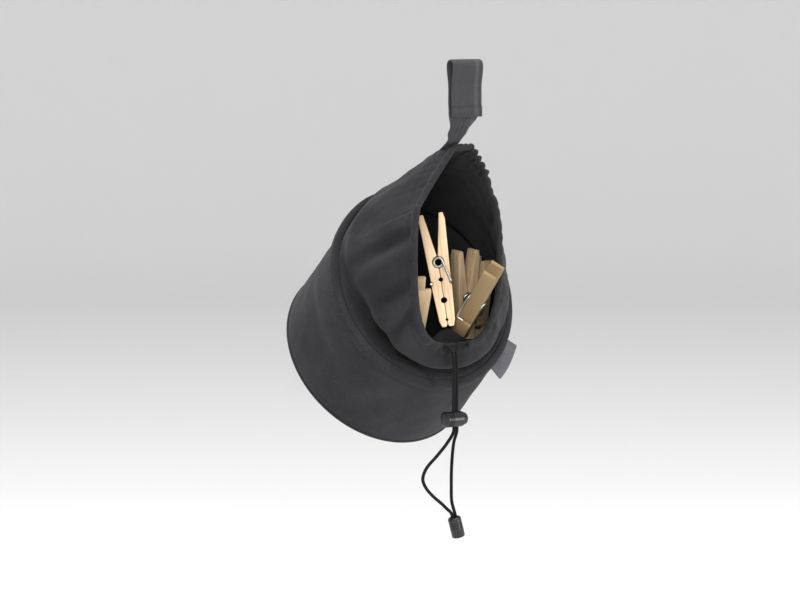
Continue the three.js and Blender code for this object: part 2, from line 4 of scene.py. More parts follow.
import bpy
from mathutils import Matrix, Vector, noise


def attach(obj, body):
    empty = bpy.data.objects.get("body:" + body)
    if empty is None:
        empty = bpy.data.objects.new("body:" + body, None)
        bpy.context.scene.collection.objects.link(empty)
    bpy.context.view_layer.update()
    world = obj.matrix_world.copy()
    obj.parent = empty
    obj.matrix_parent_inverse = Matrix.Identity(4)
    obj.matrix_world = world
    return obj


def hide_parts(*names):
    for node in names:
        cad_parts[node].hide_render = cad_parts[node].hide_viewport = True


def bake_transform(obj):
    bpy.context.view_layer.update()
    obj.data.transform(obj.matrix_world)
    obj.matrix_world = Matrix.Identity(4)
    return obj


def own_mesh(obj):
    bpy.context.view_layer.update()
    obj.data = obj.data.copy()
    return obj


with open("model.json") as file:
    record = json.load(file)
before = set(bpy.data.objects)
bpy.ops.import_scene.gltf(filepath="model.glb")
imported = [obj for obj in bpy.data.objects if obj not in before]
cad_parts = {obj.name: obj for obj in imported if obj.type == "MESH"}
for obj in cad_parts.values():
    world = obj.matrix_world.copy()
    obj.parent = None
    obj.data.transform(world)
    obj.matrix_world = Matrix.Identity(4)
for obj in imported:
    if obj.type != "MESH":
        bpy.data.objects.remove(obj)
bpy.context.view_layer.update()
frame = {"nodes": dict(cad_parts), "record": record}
joints = {joint["name"]: joint for joint in frame["record"]["behaviour"]["joints"]}
mm = 0.001
print("frame loaded")


# Small helpers

def smoothStep(low, high, value):
    share = min(1, max(0, (value - low) / (high - low)))
    return share * share * (3 - 2 * share)


def mix(a, b, share):
    return a + (b - a) * share


def bump(value, centre, width):  # one soft hill
    return exp(-((value - centre) / width) ** 2)


def ringAngles(count):
    return [2 * pi * i / count for i in range(count)]


quarterTurn = [pi / 2 * i / 6 for i in range(7)]


def pickOnly(piece):
    bpy.ops.object.select_all(action="DESELECT")
    piece.select_set(True)
    bpy.context.view_layer.objects.active = piece


def editWhole(piece, *steps):  # mesh operators in edit mode, with the whole piece selected at first
    pickOnly(piece)
    bpy.ops.object.mode_set(mode="EDIT")
    for operator, settings in (selectAll, *steps):
        operator(**settings)
    bpy.ops.object.mode_set(mode="OBJECT")


selectAll = bpy.ops.mesh.select_all, dict(action="SELECT")
faceOutward = bpy.ops.mesh.normals_make_consistent, dict(inside=False)


def applyModifier(piece, kind, **settings):
    pickOnly(piece)
    modifier = piece.modifiers.new(kind.title(), kind)
    for key, value in settings.items():
        setattr(modifier, key, value)
    bpy.ops.object.modifier_apply(modifier=modifier.name)


def shadeSmooth(piece, angle=None):
    pickOnly(piece)
    if angle is None:
        bpy.ops.object.shade_smooth()
    else:
        bpy.ops.object.shade_smooth_by_angle(angle=radians(angle))


def addObject(name, data):
    item = bpy.data.objects.new(name, data)
    bpy.context.collection.objects.link(item)
    return item


def meshPiece(name, points, edges, faces):
    mesh = bpy.data.meshes.new(name)
    mesh.from_pydata(points, edges, faces)
    return addObject(name, mesh)


# Closed rings of points in millimetres become one mesh in metres, joined in a loop or capped at both ends.
# Its UV map is in metres too: U runs round a ring and V from ring to ring.
def loftPiece(name, rings, loop=False):
    sides, count = len(rings[0]), len(rings)
    middle = rings[count // 2]
    across, along = [0], [0]
    for i in range(sides):
        across.append(across[-1] + (middle[(i + 1) % sides] - middle[i]).length * mm)
    for here, there in zip(rings, rings[1:] + rings[:1]):
        steps = [(here[i] - there[i]).length for i in range(0, sides, max(1, sides // 8))]
        along.append(along[-1] + sum(steps) / len(steps) * mm)
    faces, uvs = [], []
    for row in range(count if loop else count - 1):
        after = (row + 1) % count
        for i in range(sides):
            j = (i + 1) % sides
            faces.append((row * sides + i, row * sides + j, after * sides + j, after * sides + i))
            uvs += [(across[i], along[row]), (across[i + 1], along[row]),
                    (across[i + 1], along[row + 1]), (across[i], along[row + 1])]
    if not loop:
        for row, order in ((0, range(sides)[::-1]), (count - 1, range(sides))):
            faces.append([row * sides + i for i in order])
            uvs += [(across[i], along[row]) for i in order]
    piece = meshPiece(name, [point * mm for ring in rings for point in ring], [], faces)
    layer = piece.data.uv_layers.new(name="UVMap")
    layer.uv.foreach_set("vector", [value for uv in uvs for value in uv])
    piece.data.validate()
    editWhole(piece, faceOutward)
    return piece


# Finishes a piece: shading, material, the body it rides on and the CAD nodes it replaces. The slot is not used.
def dress(piece, material, body, slot, *nodes, angle=None):
    shadeSmooth(piece, angle)
    piece.data.materials.clear()
    piece.data.materials.append(material)
    if body:
        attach(piece, body)
    if nodes:
        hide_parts(*nodes)
    return piece


# Materials

def linearColour(text):
    parts = [int(text[i:i + 2], 16) / 255 for i in (0, 2, 4)]
    return (*[c / 12.92 if c <= 0.04045 else ((c + 0.055) / 1.055) ** 2.4 for c in parts], 1)


def startMaterial(name, **shaderInputs):
    material = bpy.data.materials.new(name)
    material.use_nodes = True
    shader = material.node_tree.nodes["Principled BSDF"]
    for key, value in shaderInputs.items():
        shader.inputs[key.replace("_", " ")].default_value = value
    return material, material.node_tree


# Adds a node with its settings and links and returns one of its outputs, which may also feed the shader.
# A socket among the inputs is linked, a hex colour is made linear and any other value is set.
def addNode(tree, kind, inputs, output=0, feeds=None, **settings):
    node = tree.nodes.new("ShaderNode" + kind)
    for key, value in settings.items():
        setattr(node, key, value)
    for key, value in inputs.items():
        if isinstance(value, bpy.types.NodeSocket):
            tree.links.new(value, node.inputs[key])
        else:
            node.inputs[key].default_value = linearColour(value) if isinstance(value, str) else value
    if feeds:
        tree.links.new(node.outputs[output], tree.nodes["Principled BSDF"].inputs[feeds])
    return node.outputs[output]


# Two sets of waves, each along a place with a spacing in millimetres, or both wound round as in a braid.
# Returns the first set and the pattern where they cross.
def crossWaves(tree, first, second, wound=False):
    phases = [addNode(tree, "Math", {0: place, 1: 2 * pi / (spacing * mm)}, operation="MULTIPLY")
              for place, spacing in (first, second)]
    if wound:
        phases = [addNode(tree, "Math", {0: phases[0], 1: phases[1]}, operation=way) for way in ("ADD", "SUBTRACT")]
    waves = [addNode(tree, "Math", {0: phase}, operation="SINE") for phase in phases]
    return waves[0], addNode(tree, "Math", {0: waves[0], 1: waves[1]}, operation="MULTIPLY")


# Woven cloth on a UV map in metres: each thread passes over one neighbour and under the next.
# thread is the width of a thread and patch the size of the rubbed places, in millimetres. The cloths below are
# drawn about twice as coarse as real, so that their threads show.
def wovenMaterial(name, dark, light, thread, relief, patch, sheen, rough):
    material, tree = startMaterial(name, Roughness=rough, IOR=1.5, Specular_IOR_Level=0.14,
                                   Sheen_Weight=sheen, Sheen_Roughness=0.5)
    place, uv = [addNode(tree, "TexCoord", {}, space) for space in ("Object", "UV")]
    across, along = [addNode(tree, "SeparateXYZ", {0: uv}, axis) for axis in ("X", "Y")]
    weave = crossWaves(tree, (across, 2 * thread), (along, 2 * thread))[1]
    fuzz, wear = [addNode(tree, "TexNoise", {"Vector": place, "Scale": 1 / (size * mm), "Detail": detail})
                  for size, detail in ((0.8, 2), (patch, 3))]
    tone = addNode(tree, "Math", {0: weave, 1: 0.1, 2: wear}, operation="MULTIPLY_ADD")  # the weave tints a little
    tone = addNode(tree, "Math", {0: fuzz, 1: 0.5, 2: tone}, operation="MULTIPLY_ADD")  # loose fibres tint more
    factor = addNode(tree, "MapRange", {"Value": tone, "From Min": 0.4, "From Max": 1.1})
    addNode(tree, "Mix", {0: factor, 6: dark, 7: light}, 2, "Base Color", data_type="RGBA")
    height = addNode(tree, "Math", {0: fuzz, 1: 0.6, 2: weave}, operation="MULTIPLY_ADD")
    addNode(tree, "Bump", {"Height": height, "Strength": relief, "Distance": 0.25 * mm}, feeds="Normal")
    return material


# Polyester canvas of the bucket, woven from matt yarn: a plain weave, a little lighter where it is rubbed
wallCanvas = wovenMaterial("wallCanvas", "1e1e20", "303033",
                           thread=1.1, relief=0.35, patch=34, sheen=0.05, rough=0.9)
# Thin polyester of the collar, tighter and smoother than the canvas
collarCloth = wovenMaterial("collarCloth", "19191b", "2a2a2c",
                            thread=0.9, relief=0.3, patch=26, sheen=0.06, rough=0.85)
# The same cloth where it is folded in under the pegs, made darker as painted shade
slackClothPaintedShade = wovenMaterial("slackClothPaintedShade", "0d0d0e", "1a1a1b",
                           thread=0.9, relief=0.3, patch=12, sheen=0.02, rough=0.9)
# Folded cotton-blend tape bound over the rim: a coarser, deeper weave
bindingTape = wovenMaterial("bindingTape", "1c1c1e", "2c2c2e",
                            thread=1.3, relief=0.45, patch=18, sheen=0.06, rough=0.85)
# Satin label tape, blank: fine, and smoother than the rest
labelSatin = wovenMaterial("labelSatin", "434347", "58585c",
                           thread=0.7, relief=0.35, patch=8, sheen=0.12, rough=0.6)
# Nylon hook and loop tape: a deep, rough pile
closureTape = wovenMaterial("closureTape", "101011", "2a2a2c",
                            thread=1.4, relief=1.0, patch=5, sheen=0.3, rough=0.9)


# Polypropylene webbing: ribs along the strap, crossed by the weft, with one paler stripe
def webbingMaterial(name, dark, light, stripe, ribs, weft, stripeAt):
    material, tree = startMaterial(name, Roughness=0.78, IOR=1.49, Specular_IOR_Level=0.2, Sheen_Weight=0.08)
    place, uv = [addNode(tree, "TexCoord", {}, space) for space in ("Object", "UV")]
    across = addNode(tree, "SeparateXYZ", {0: place}, "X")
    along = addNode(tree, "SeparateXYZ", {0: uv}, "Y")
    rib, weave = crossWaves(tree, (across, ribs), (along, weft))
    height = addNode(tree, "Math", {0: rib, 1: 0.6, 2: weave}, operation="MULTIPLY_ADD")
    fuzz = addNode(tree, "TexNoise", {"Vector": place, "Scale": 1 / (1.5 * mm), "Detail": 3})
    tone = addNode(tree, "Math", {0: height, 1: 0.14, 2: fuzz}, operation="MULTIPLY_ADD")
    base = addNode(tree, "Mix", {0: tone, 6: dark, 7: light}, 2, data_type="RGBA")
    offset = addNode(tree, "Math", {0: across, 1: stripeAt * mm}, operation="SUBTRACT")
    offset = addNode(tree, "Math", {0: offset}, operation="ABSOLUTE")
    band = addNode(tree, "MapRange", {"Value": offset, "From Min": 1 * mm, "From Max": 1.6 * mm,  # soft edges
                                      "To Min": 0.55, "To Max": 0})
    addNode(tree, "Mix", {0: band, 6: base, 7: stripe}, 2, "Base Color", data_type="RGBA")
    addNode(tree, "Bump", {"Height": height, "Strength": 0.7, "Distance": 0.3 * mm}, feeds="Normal")
    return material


strapWebbing = webbingMaterial("strapWebbing", "28282a", "3c3c3f", "4c4c4f", ribs=1.6, weft=1.2, stripeAt=7)


# Braided polyester on a UV map in metres: two sets of strands wind round it and cross, four of each
def braidMaterial(name, dark, light, pitch, girth):
    material, tree = startMaterial(name, Roughness=0.75, IOR=1.5, Specular_IOR_Level=0.12, Sheen_Weight=0.04)
    uv = addNode(tree, "TexCoord", {}, "UV")
    about, along = [addNode(tree, "SeparateXYZ", {0: uv}, axis) for axis in ("X", "Y")]
    braid = crossWaves(tree, (about, girth / 4), (along, pitch), wound=True)[1]
    factor = addNode(tree, "MapRange", {"Value": braid, "From Min": -1, "From Max": 1})
    addNode(tree, "Mix", {0: factor, 6: dark, 7: light}, 2, "Base Color", data_type="RGBA")
    addNode(tree, "Bump", {"Height": braid, "Strength": 0.8, "Distance": 0.2 * mm}, feeds="Normal")
    return material


cordBraid = braidMaterial("cordBraid", "060607", "161617", pitch=2.4, girth=6.6)
# Spun polyester sewing thread: a fine broken grain, with no gloss
sewingThread = braidMaterial("sewingThread", "1d1d1f", "343436", pitch=0.9, girth=1.6)


# Moulded acetal of the cord lock and cord end: a spark-eroded tool leaves a fine satin grain
def mouldedMaterial(name, dark, light, rough):
    material, tree = startMaterial(name, Roughness=rough, IOR=1.48)
    place = addNode(tree, "TexCoord", {}, "Object")
    grain, rubbed = [addNode(tree, "TexNoise", {"Vector": place, "Scale": 1 / (size * mm), "Detail": detail})
                     for size, detail in ((0.35, 2), (4, 3))]
    addNode(tree, "Mix", {0: rubbed, 6: dark, 7: light}, 2, "Base Color", data_type="RGBA")
    addNode(tree, "Bump", {"Height": grain, "Strength": 0.25, "Distance": 0.1 * mm}, feeds="Normal")
    return material


lockPlastic = mouldedMaterial("lockPlastic", "0b0b0c", "18181a", rough=0.36)
# Plain plastic sheet of the base board, duller than the mouldings
boardPlastic = mouldedMaterial("boardPlastic", "222224", "2e2e30", rough=0.6)


# Planed birch of the pegs: growth rings give long fine streaks, with pores and a few darker lines.
# Each peg carries its own place in the wood in the attribute "grain", and in a second attribute how far painted shade
# darkens it.
def woodMaterial(name, pale, warm, streak, shadeTone):
    material, tree = startMaterial(name, Roughness=0.62, IOR=1.5, Specular_IOR_Level=0.35)
    grain = addNode(tree, "Attribute", {}, "Vector", attribute_name="grain")
    drawnOut = addNode(tree, "Mapping", {"Vector": grain, "Scale": (1, 0.06, 1)})
    rings, broad, pores = [
        addNode(tree, "TexNoise", {"Vector": drawnOut, "Scale": 1 / (size * mm), "Detail": detail,
                                   "Distortion": sway})
        for size, detail, sway in ((1.6, 4, 0.6), (7, 2, 0), (0.4, 2, 0))]
    base = addNode(tree, "Mix", {0: broad, 6: pale, 7: warm}, 2, data_type="RGBA")
    lines = addNode(tree, "MapRange", {"Value": rings, "From Min": 0.5, "From Max": 0.72, "To Max": 0.7})
    veined = addNode(tree, "Mix", {0: lines, 6: base, 7: streak}, 2, data_type="RGBA")
    # painted shade: each peg's wood is mixed towards a dark tone by its own share
    pegShade = addNode(tree, "Attribute", {}, "Fac", attribute_name="pegShade")
    addNode(tree, "Mix", {0: pegShade, 6: veined, 7: shadeTone}, 2, "Base Color", data_type="RGBA")
    height = addNode(tree, "Math", {0: pores, 1: rings}, operation="ADD")
    addNode(tree, "Bump", {"Height": height, "Strength": 0.3, "Distance": 0.15 * mm}, feeds="Normal")
    return material


# the last colour is the painted shade that the pegs darken towards
pegBirch = woodMaterial("pegBirch", "dcc6a7", "caad86", "a97f50", "806b4b")


# Galvanised spring wire: bright zinc, slightly clouded
def wireMaterial(name, dull, bright):
    material, tree = startMaterial(name, Metallic=1, Roughness=0.34)
    place = addNode(tree, "TexCoord", {}, "Object")
    cloud = addNode(tree, "TexNoise", {"Vector": place, "Scale": 1 / (1.2 * mm), "Detail": 3})
    addNode(tree, "Mix", {0: cloud, 6: dull, 7: bright}, 2, "Base Color", data_type="RGBA")
    addNode(tree, "MapRange", {"Value": cloud, "To Min": 0.26, "To Max": 0.46}, feeds="Roughness")
    return material


zincWire = wireMaterial("zincWire", "8d8b86", "d2d0c9")
print("materials ready")


# Camera: at the photograph's angle, left of the mouth and a little above level.
# right and up move the point that it looks at, in millimetres.
cameraView = dict(
    azimuth=-34.5, elevation=5, distance=2.4, lens=172.8, sensor=36, clipEnd=50, right=-40.6, up=-146.5)


def makeCamera():
    turn, rise = radians(cameraView["azimuth"]), radians(cameraView["elevation"])
    towards = Vector((sin(turn) * cos(rise), -cos(turn) * cos(rise), sin(rise)))
    right = Vector((cos(turn), sin(turn), 0))
    target = (right * cameraView["right"] + towards.cross(right) * cameraView["up"]) * mm
    camera = addObject("photoCamera", bpy.data.cameras.new("photoCamera"))
    camera.data.lens = cameraView["lens"]
    camera.data.sensor_width = cameraView["sensor"]
    camera.data.clip_end = cameraView["clipEnd"]
    camera.location = target + towards * cameraView["distance"]
    camera.rotation_euler = (-towards).to_track_quat("-Z", "Y").to_euler()
    bpy.context.scene.camera = camera


# Studio: a pale floor that curves up into a wall all round, and soft lamps. In metres.
studio = dict(floor=-0.44, flat=3.4, curve=1.4, wall=3.0, sides=96, steps=10, paper="dededd", paperRough=0.9,
              sky="f2f3f5", skyPower=0.82, aim=(0, 0.03, -0.14))
lamps = {
    "keyLamp": dict(place=(-1.6, -2.1, 0.8), size=1.2, power=58),
    "fillLamp": dict(place=(0.9, -1.6, -0.15), size=0.5, power=17),
    "topLamp": dict(place=(-0.2, -0.1, 2.1), size=1.4, power=60),
}


def makeStudio():
    bpy.ops.object.select_all(action="DESELECT")
    bpy.ops.mesh.primitive_circle_add(vertices=studio["sides"], radius=studio["flat"], fill_type="NGON",
                                      location=(0, 0, studio["floor"]))
    floor = bpy.context.object
    floor.name = "studioFloor"
    bpy.ops.object.transform_apply(location=True)
    bpy.ops.object.mode_set(mode="EDIT")
    bpy.ops.mesh.select_mode(type="EDGE")
    bpy.ops.mesh.select_all(action="SELECT")
    reach, height = studio["flat"], 0
    for i in range(1, studio["steps"] + 1):  # round the floor's edge up into the wall
        turn = pi / 2 * i / studio["steps"]
        newReach = studio["flat"] + studio["curve"] * sin(turn)
        newHeight = studio["curve"] * (1 - cos(turn))
        bpy.ops.mesh.extrude_edges_move(TRANSFORM_OT_translate={"value": (0, 0, newHeight - height)})
        bpy.ops.transform.resize(value=(newReach / reach, newReach / reach, 1))
        reach, height = newReach, newHeight
    bpy.ops.mesh.extrude_edges_move(TRANSFORM_OT_translate={"value": (0, 0, studio["wall"])})
    bpy.ops.object.mode_set(mode="OBJECT")
    shadeSmooth(floor)
    floor.data.materials.append(startMaterial(
        "studioPaper", Roughness=studio["paperRough"], Base_Color=linearColour(studio["paper"]))[0])
    for name, lamp in lamps.items():
        light = addObject(name, bpy.data.lights.new(name, "AREA"))
        light.data.energy = lamp["power"]
        light.data.size = lamp["size"]
        light.location = lamp["place"]
        light.rotation_euler = (Vector(studio["aim"]) - light.location).to_track_quat("-Z", "Y").to_euler()
    world = bpy.data.worlds.new("studioWorld")
    world.use_nodes = True
    background = world.node_tree.nodes["Background"].inputs
    background["Color"].default_value = linearColour(studio["sky"])
    background["Strength"].default_value = studio["skyPower"]
    bpy.context.scene.world = world
    bpy.context.scene.view_settings.view_transform = "Standard"


makeCamera()
makeStudio()
print("camera and studio ready")


# The bag's lines, in millimetres. Angles go round from the top towards +X.
bag = dict(
    fit=0.3, rimRadius=66, baseRadius=65, depth=70.5, rimY=46, rimZ=-142.5, dip=42, rimLean=24.5, baseLean=34.8,
    wall=1.8, binding=1.2, collarLead=2.4, swell=3, rise=4.5, heart=20,
    mouthTop=-51.3, mouthBottom=-177, mouthHalf=33, mouthX=-5, mouthY=10, sideForward=9, lowerPower=3,
    gableStart=0.417, gableSlope=1.25, frill=11, frillTurns=(8, 38, 70), hem=3.4)
collarOffset = -bag["wall"] - bag["binding"] - 2 * bag["fit"]


def bucketPoint(depth, offset, angle):
    share = depth / bag["depth"]
    lean = radians(mix(bag["rimLean"], bag["baseLean"], share))
    radius = mix(bag["rimRadius"], bag["baseRadius"], share) + offset
    dip = radians(bag["dip"])
    return Vector((radius * sin(angle),
                   bag["rimY"] + depth * cos(dip) + radius * cos(angle) * sin(lean),
                   bag["rimZ"] - depth * sin(dip) + radius * cos(angle) * cos(lean)))


def mouthPoint(angle):
    height = cos(angle)
    side = copysign(1, sin(angle))
    gable = 1 - bag["gableSlope"] * max(0, height - bag["gableStart"])
    upper = sqrt(max(0, 1 - height * height)) * gable
    lower = max(0, 1 - abs(height) ** bag["lowerPower"]) ** (1 / bag["lowerPower"])
    spread = upper if height > 0 else lower
    full, leave, end = bag["frillTurns"]
    turn = (degrees(angle) + 180) % 360 - 180
    frill = bag["frill"] * smoothStep(0, full, turn) * smoothStep(end, leave, turn)
    return Vector((side * spread * bag["mouthHalf"] + bag["mouthX"] * spread + frill,
                   bag["mouthY"] - bag["sideForward"] * spread * spread,
                   mix(bag["mouthBottom"], bag["mouthTop"], (height + 1) / 2)))


# Smooth line through points, the same curve that the model's strands follow
def smoothLine(points, step):
    points = [Vector(point) for point in points]
    points = [points[0] * 2 - points[1], *points, points[-1] * 2 - points[-2]]
    line = []
    for a, b, c, d in zip(points, points[1:], points[2:], points[3:]):
        gaps = [max(1e-4, sqrt((p - q).length)) for p, q in ((a, b), (b, c), (c, d))]
        leave = (b - a) / gaps[0] - (c - a) / (gaps[0] + gaps[1]) + (c - b) / gaps[1]
        arrive = (c - b) / gaps[1] - (d - b) / (gaps[1] + gaps[2]) + (d - c) / gaps[2]
        leave, arrive = leave * gaps[1], arrive * gaps[1]
        count = max(2, round((c - b).length / step))
        for i in range(count):
            t = i / count
            line.append(b * (2 * t ** 3 - 3 * t ** 2 + 1) + leave * (t ** 3 - 2 * t ** 2 + t)
                        + c * (3 * t ** 2 - 2 * t ** 3) + arrive * (t ** 3 - t ** 2))
    return line + [points[-2]]


def lineLength(line):
    return sum((b - a).length for a, b in zip(line, line[1:]))


def withNeighbours(line):  # each point between the one before and the one after
    return zip(line[:1] + line, line, line[1:] + line[-1:])


# Rings round a line, carried along it without twisting
def tubeRings(line, radius, sides):
    rings = []
    side = Vector((0.3, 0.5, 0.8))  # any start that no line runs along
    for before, point, after in withNeighbours(line):
        along = (after - before).normalized()
        side = (side - along * side.dot(along)).normalized()
        other = along.cross(side)
        rings.append([point + (side * cos(t) + other * sin(t)) * radius for t in ringAngles(sides)])
    return rings


# Cord: the two strands that leave the hem, pass the lock and meet in the cord end
cord = dict(
    radius=1.05, spacing=2.5, x=-4, y=4.5, exitHalf=9, drop=9, turn=(2, -2.5), bends=(0.4, 0.9), lead=(10, 8),
    lockZ=-222.5, intoEnd=1.2, step=0.9, sides=14)
cordEnd = dict(
    x=-4.1, y=5.5, top=-284.9, tilt=16, length=13.2, radius=4.2, wall=0.9, plug=7, lead=3,
    grooves=(3.2, 4.8, 6.4), grooveDepth=0.3, grooveHalf=(0.4, 0.2))
strandLoops = {
    "strandLeft": (-1, "cord_strand_left", [
        (-9.4, 5.2, -237.2), (-17, 5.5, -244.9), (-25.6, 5.5, -252.8), (-28.1, 5.5, -258.9),
        (-26.2, 5.5, -264), (-21, 5.5, -269.8), (-13.8, 5.5, -275.6), (-9.2, 5.5, -279.6)]),
    "strandRight": (1, "cord_strand_right", [
        (-4.4, 5.2, -237), (-5.8, 5.5, -250), (-6.2, 5.5, -264), (-5.8, 5.5, -275)]),
}


def endPoint(across, height):
    tilt = radians(cordEnd["tilt"])
    return (cordEnd["x"] + across * cos(tilt) - height * sin(tilt), cordEnd["y"],
            cordEnd["top"] + across * sin(tilt) + height * cos(tilt))


def strandLine(side, loop):
    half = side * cord["spacing"] / 2
    x, y, power = cord["x"] + half, cord["y"], bag["lowerPower"]
    exitAngle = acos(-(1 - (cord["exitHalf"] / bag["mouthHalf"]) ** power) ** (1 / power))
    hemEnd = mouthPoint(pi - side * (pi - exitAngle))
    return smoothLine([
        (hemEnd.x - side * bag["fit"], hemEnd.y, hemEnd.z),
        (mix(hemEnd.x, x, cord["bends"][0]), hemEnd.y, hemEnd.z),
        (mix(hemEnd.x, x, cord["bends"][1]), y + cord["turn"][0], hemEnd.z + cord["turn"][1]),
        (x, y, bag["mouthBottom"] - cord["drop"]),
        *[(x, y, cord["lockZ"] + lead) for lead in (cord["lead"][0], 0, -cord["lead"][1])],
        *loop, endPoint(half, cordEnd["lead"]), endPoint(half, -cord["intoEnd"])], cord["step"])


def makeStrands():
    strands = {}
    for name, (side, node, loop) in strandLoops.items():
        line = strandLine(side, loop)
        strand = loftPiece(name, tubeRings(line, cord["radius"], cord["sides"]))
        strands[name] = dress(strand, cordBraid, "bag", "cordage", node), line
    return strands


def declareStrands(strands):
    for name, (strand, line) in strands.items():
        print(name, "length", round(lineLength(line)), "mm")


strands = makeStrands()
print("cords ready")


# A line of points (distance along the axis, radius) is spun into one closed round piece
def spinPiece(name, profile, place, axis, side):
    points = [(place + axis * along + side * radius) * mm for along, radius in profile]
    piece = meshPiece(name, points, [(i, i + 1) for i in range(len(points) - 1)], [])
    editWhole(piece, (bpy.ops.mesh.spin, dict(steps=48, angle=2 * pi, center=place * mm, axis=axis)), selectAll,
              (bpy.ops.mesh.remove_doubles, dict(threshold=1e-6)), faceOutward)
    return piece


def gripRings(form):  # grooves round a moulded grip, as part of its profile
    radius, floor = form["radius"], form["radius"] - form["grooveDepth"]
    top, foot = form["grooveHalf"]
    return [point for groove in form["grooves"] for point in (
        (groove - top, radius), (groove - foot, floor), (groove + foot, floor), (groove + top, radius))]


# Cord lock: a barrel, a sprung button and a slot through both that holds the strands
lock = dict(
    hole=1.35, holeReach=2.6, cut=8, radius=5, bore=4.2, openEnd=5.2, boreEnd=-7.5, closedEnd=-8.5,
    grooves=(-6.7, -5.3, -3.9), grooveDepth=0.4, grooveHalf=(0.5, 0.3), plungerBack=-3.6, plungerRadius=3.9,
    buttonEnd=8, travel=1.6, slack=0.3, springRadius=2.6, springGap=0.55, wire=0.25, wireSides=8, turns=2, perTurn=20,
    sharp=35)


# A slot with round ends through a piece of the lock, along Z, for the two strands
def cutSlot(piece, low, high):
    radius, halfTurn = lock["hole"], [pi * (i / 12 - 0.5) for i in range(13)]
    outline = [(high - radius + radius * cos(t), radius * sin(t)) for t in halfTurn]
    outline += [(low + radius - radius * cos(t), -radius * sin(t)) for t in halfTurn]
    cutter = loftPiece("slotCutter", [
        [Vector((cord["x"] + x, cord["y"] + y, cord["lockZ"] + z)) for x, y in outline]
        for z in (-lock["cut"], lock["cut"])])
    applyModifier(piece, "BOOLEAN", object=cutter, operation="DIFFERENCE", solver="EXACT")
    bpy.data.objects.remove(cutter)


def makeLock():
    place, axis, side = Vector((cord["x"], cord["y"], cord["lockZ"])), Vector((1, 0, 0)), Vector((0, 0, 1))
    end, mouth, radius, bore, reach = [lock[key] for key in ("closedEnd", "openEnd", "radius", "bore", "holeReach")]
    barrel = spinPiece("lockBarrel", [  # rounded end, grip, a shallow step, lip, bore
        (end, 0), (end, 3.4), (end + 0.25, 4.4), (end + 0.8, radius), *gripRings(lock),
        (mouth - 1.5, radius), (mouth - 1.2, radius - 0.25), (mouth - 0.5, radius - 0.25), (mouth, 4.5),
        (mouth, bore + 0.15), (mouth - 0.2, bore), (lock["boreEnd"], bore), (lock["boreEnd"], 0)], place, axis, side)
    cutSlot(barrel, -reach, reach)
    back, tip, radius = lock["plungerBack"], lock["buttonEnd"], lock["plungerRadius"]
    plunger = spinPiece("lockButton", [  # chamfered back, stem, domed tip with a dished middle
        (back, 0), (back, radius - 0.4), (back + 0.4, radius), (tip - 1.3, radius), (tip - 0.6, radius - 0.25),
        (tip - 0.15, radius - 0.8), (tip, radius - 1.5), (tip - 0.15, 1.4), (tip - 0.25, 0)], place, axis, side)
    cutSlot(plunger, -reach, reach + lock["travel"] + lock["slack"])
    low, high = lock["boreEnd"] + lock["springGap"], back - lock["springGap"]
    steps, perTurn, radius = lock["turns"] * lock["perTurn"], lock["perTurn"], lock["springRadius"]
    coil = [place + Vector((mix(low, high, i / steps), radius * cos(2 * pi * i / perTurn),
                            radius * sin(2 * pi * i / perTurn))) for i in range(steps + 1)]
    spring = loftPiece("lockSpring", tubeRings(coil, lock["wire"], lock["wireSides"]))
    dress(barrel, lockPlastic, "cord_lock", "plastic", "cord_lock_barrel", angle=lock["sharp"])
    dress(plunger, lockPlastic, "cord_lock_plunger", "plastic", "cord_lock_plunger", angle=lock["sharp"])
    dress(spring, zincWire, "cord_lock", "steel", "cord_lock_spring")
    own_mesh(spring)
    return [barrel, plunger]


def makeCordEnd():
    tilt = radians(cordEnd["tilt"])
    place = Vector((cordEnd["x"], cordEnd["y"], cordEnd["top"]))
    axis, side = Vector((sin(tilt), 0, -cos(tilt))), Vector((0, 1, 0))
    radius, length, wall = cordEnd["radius"], cordEnd["length"], cordEnd["wall"]
    cavity = radius - wall
    shell = spinPiece("cordEndShell", [  # rounded top, grip, open end, cavity
        (0, 0), (0, cavity - 0.2), (0.25, cavity + 0.3), (1.1, radius), *gripRings(cordEnd), (length - 0.6, radius),
        (length, radius - 0.4), (length, cavity + 0.2), (length - 0.2, cavity), (wall, cavity), (wall, 0)],
        place, axis, side)
    plugTop, plugRadius = length - cordEnd["plug"], cavity - bag["fit"]
    plug = spinPiece("cordEndPlug", [  # plain plug with a dished end
        (plugTop, 0), (plugTop, plugRadius), (length - 0.5, plugRadius), (length - 0.1, plugRadius - 0.4),
        (length - 0.4, 1.2), (length - 0.4, 0)], place, axis, side)
    return [dress(piece, lockPlastic, "bag", "plastic", node, angle=lock["sharp"])
            for piece, node in ((shell, "cord_end_shell"), (plug, "cord_end_plug"))]


lockPieces = makeLock()
endPieces = makeCordEnd()
declareStrands(strands)
print("cord lock and cord end ready")


def clothNoise(point, size, seed):  # each use has a seed of its own, so that no two waves agree
    return noise.noise(point / size + Vector((seed * 7.3, seed * 3.1, seed * 5.7)))


def turnFrom(angle, place):  # signed turn between an angle and a place round the rim, in degrees
    return (degrees(angle) - place + 180) % 360 - 180


# Rings of a stitch: place along it, size, and how far the middle sinks into the cloth
stitchRings = ((-0.5, 0.35, 1.1), (-0.3, 1, 0.5), (0.3, 1, 0.5), (0.5, 0.35, 1.1))


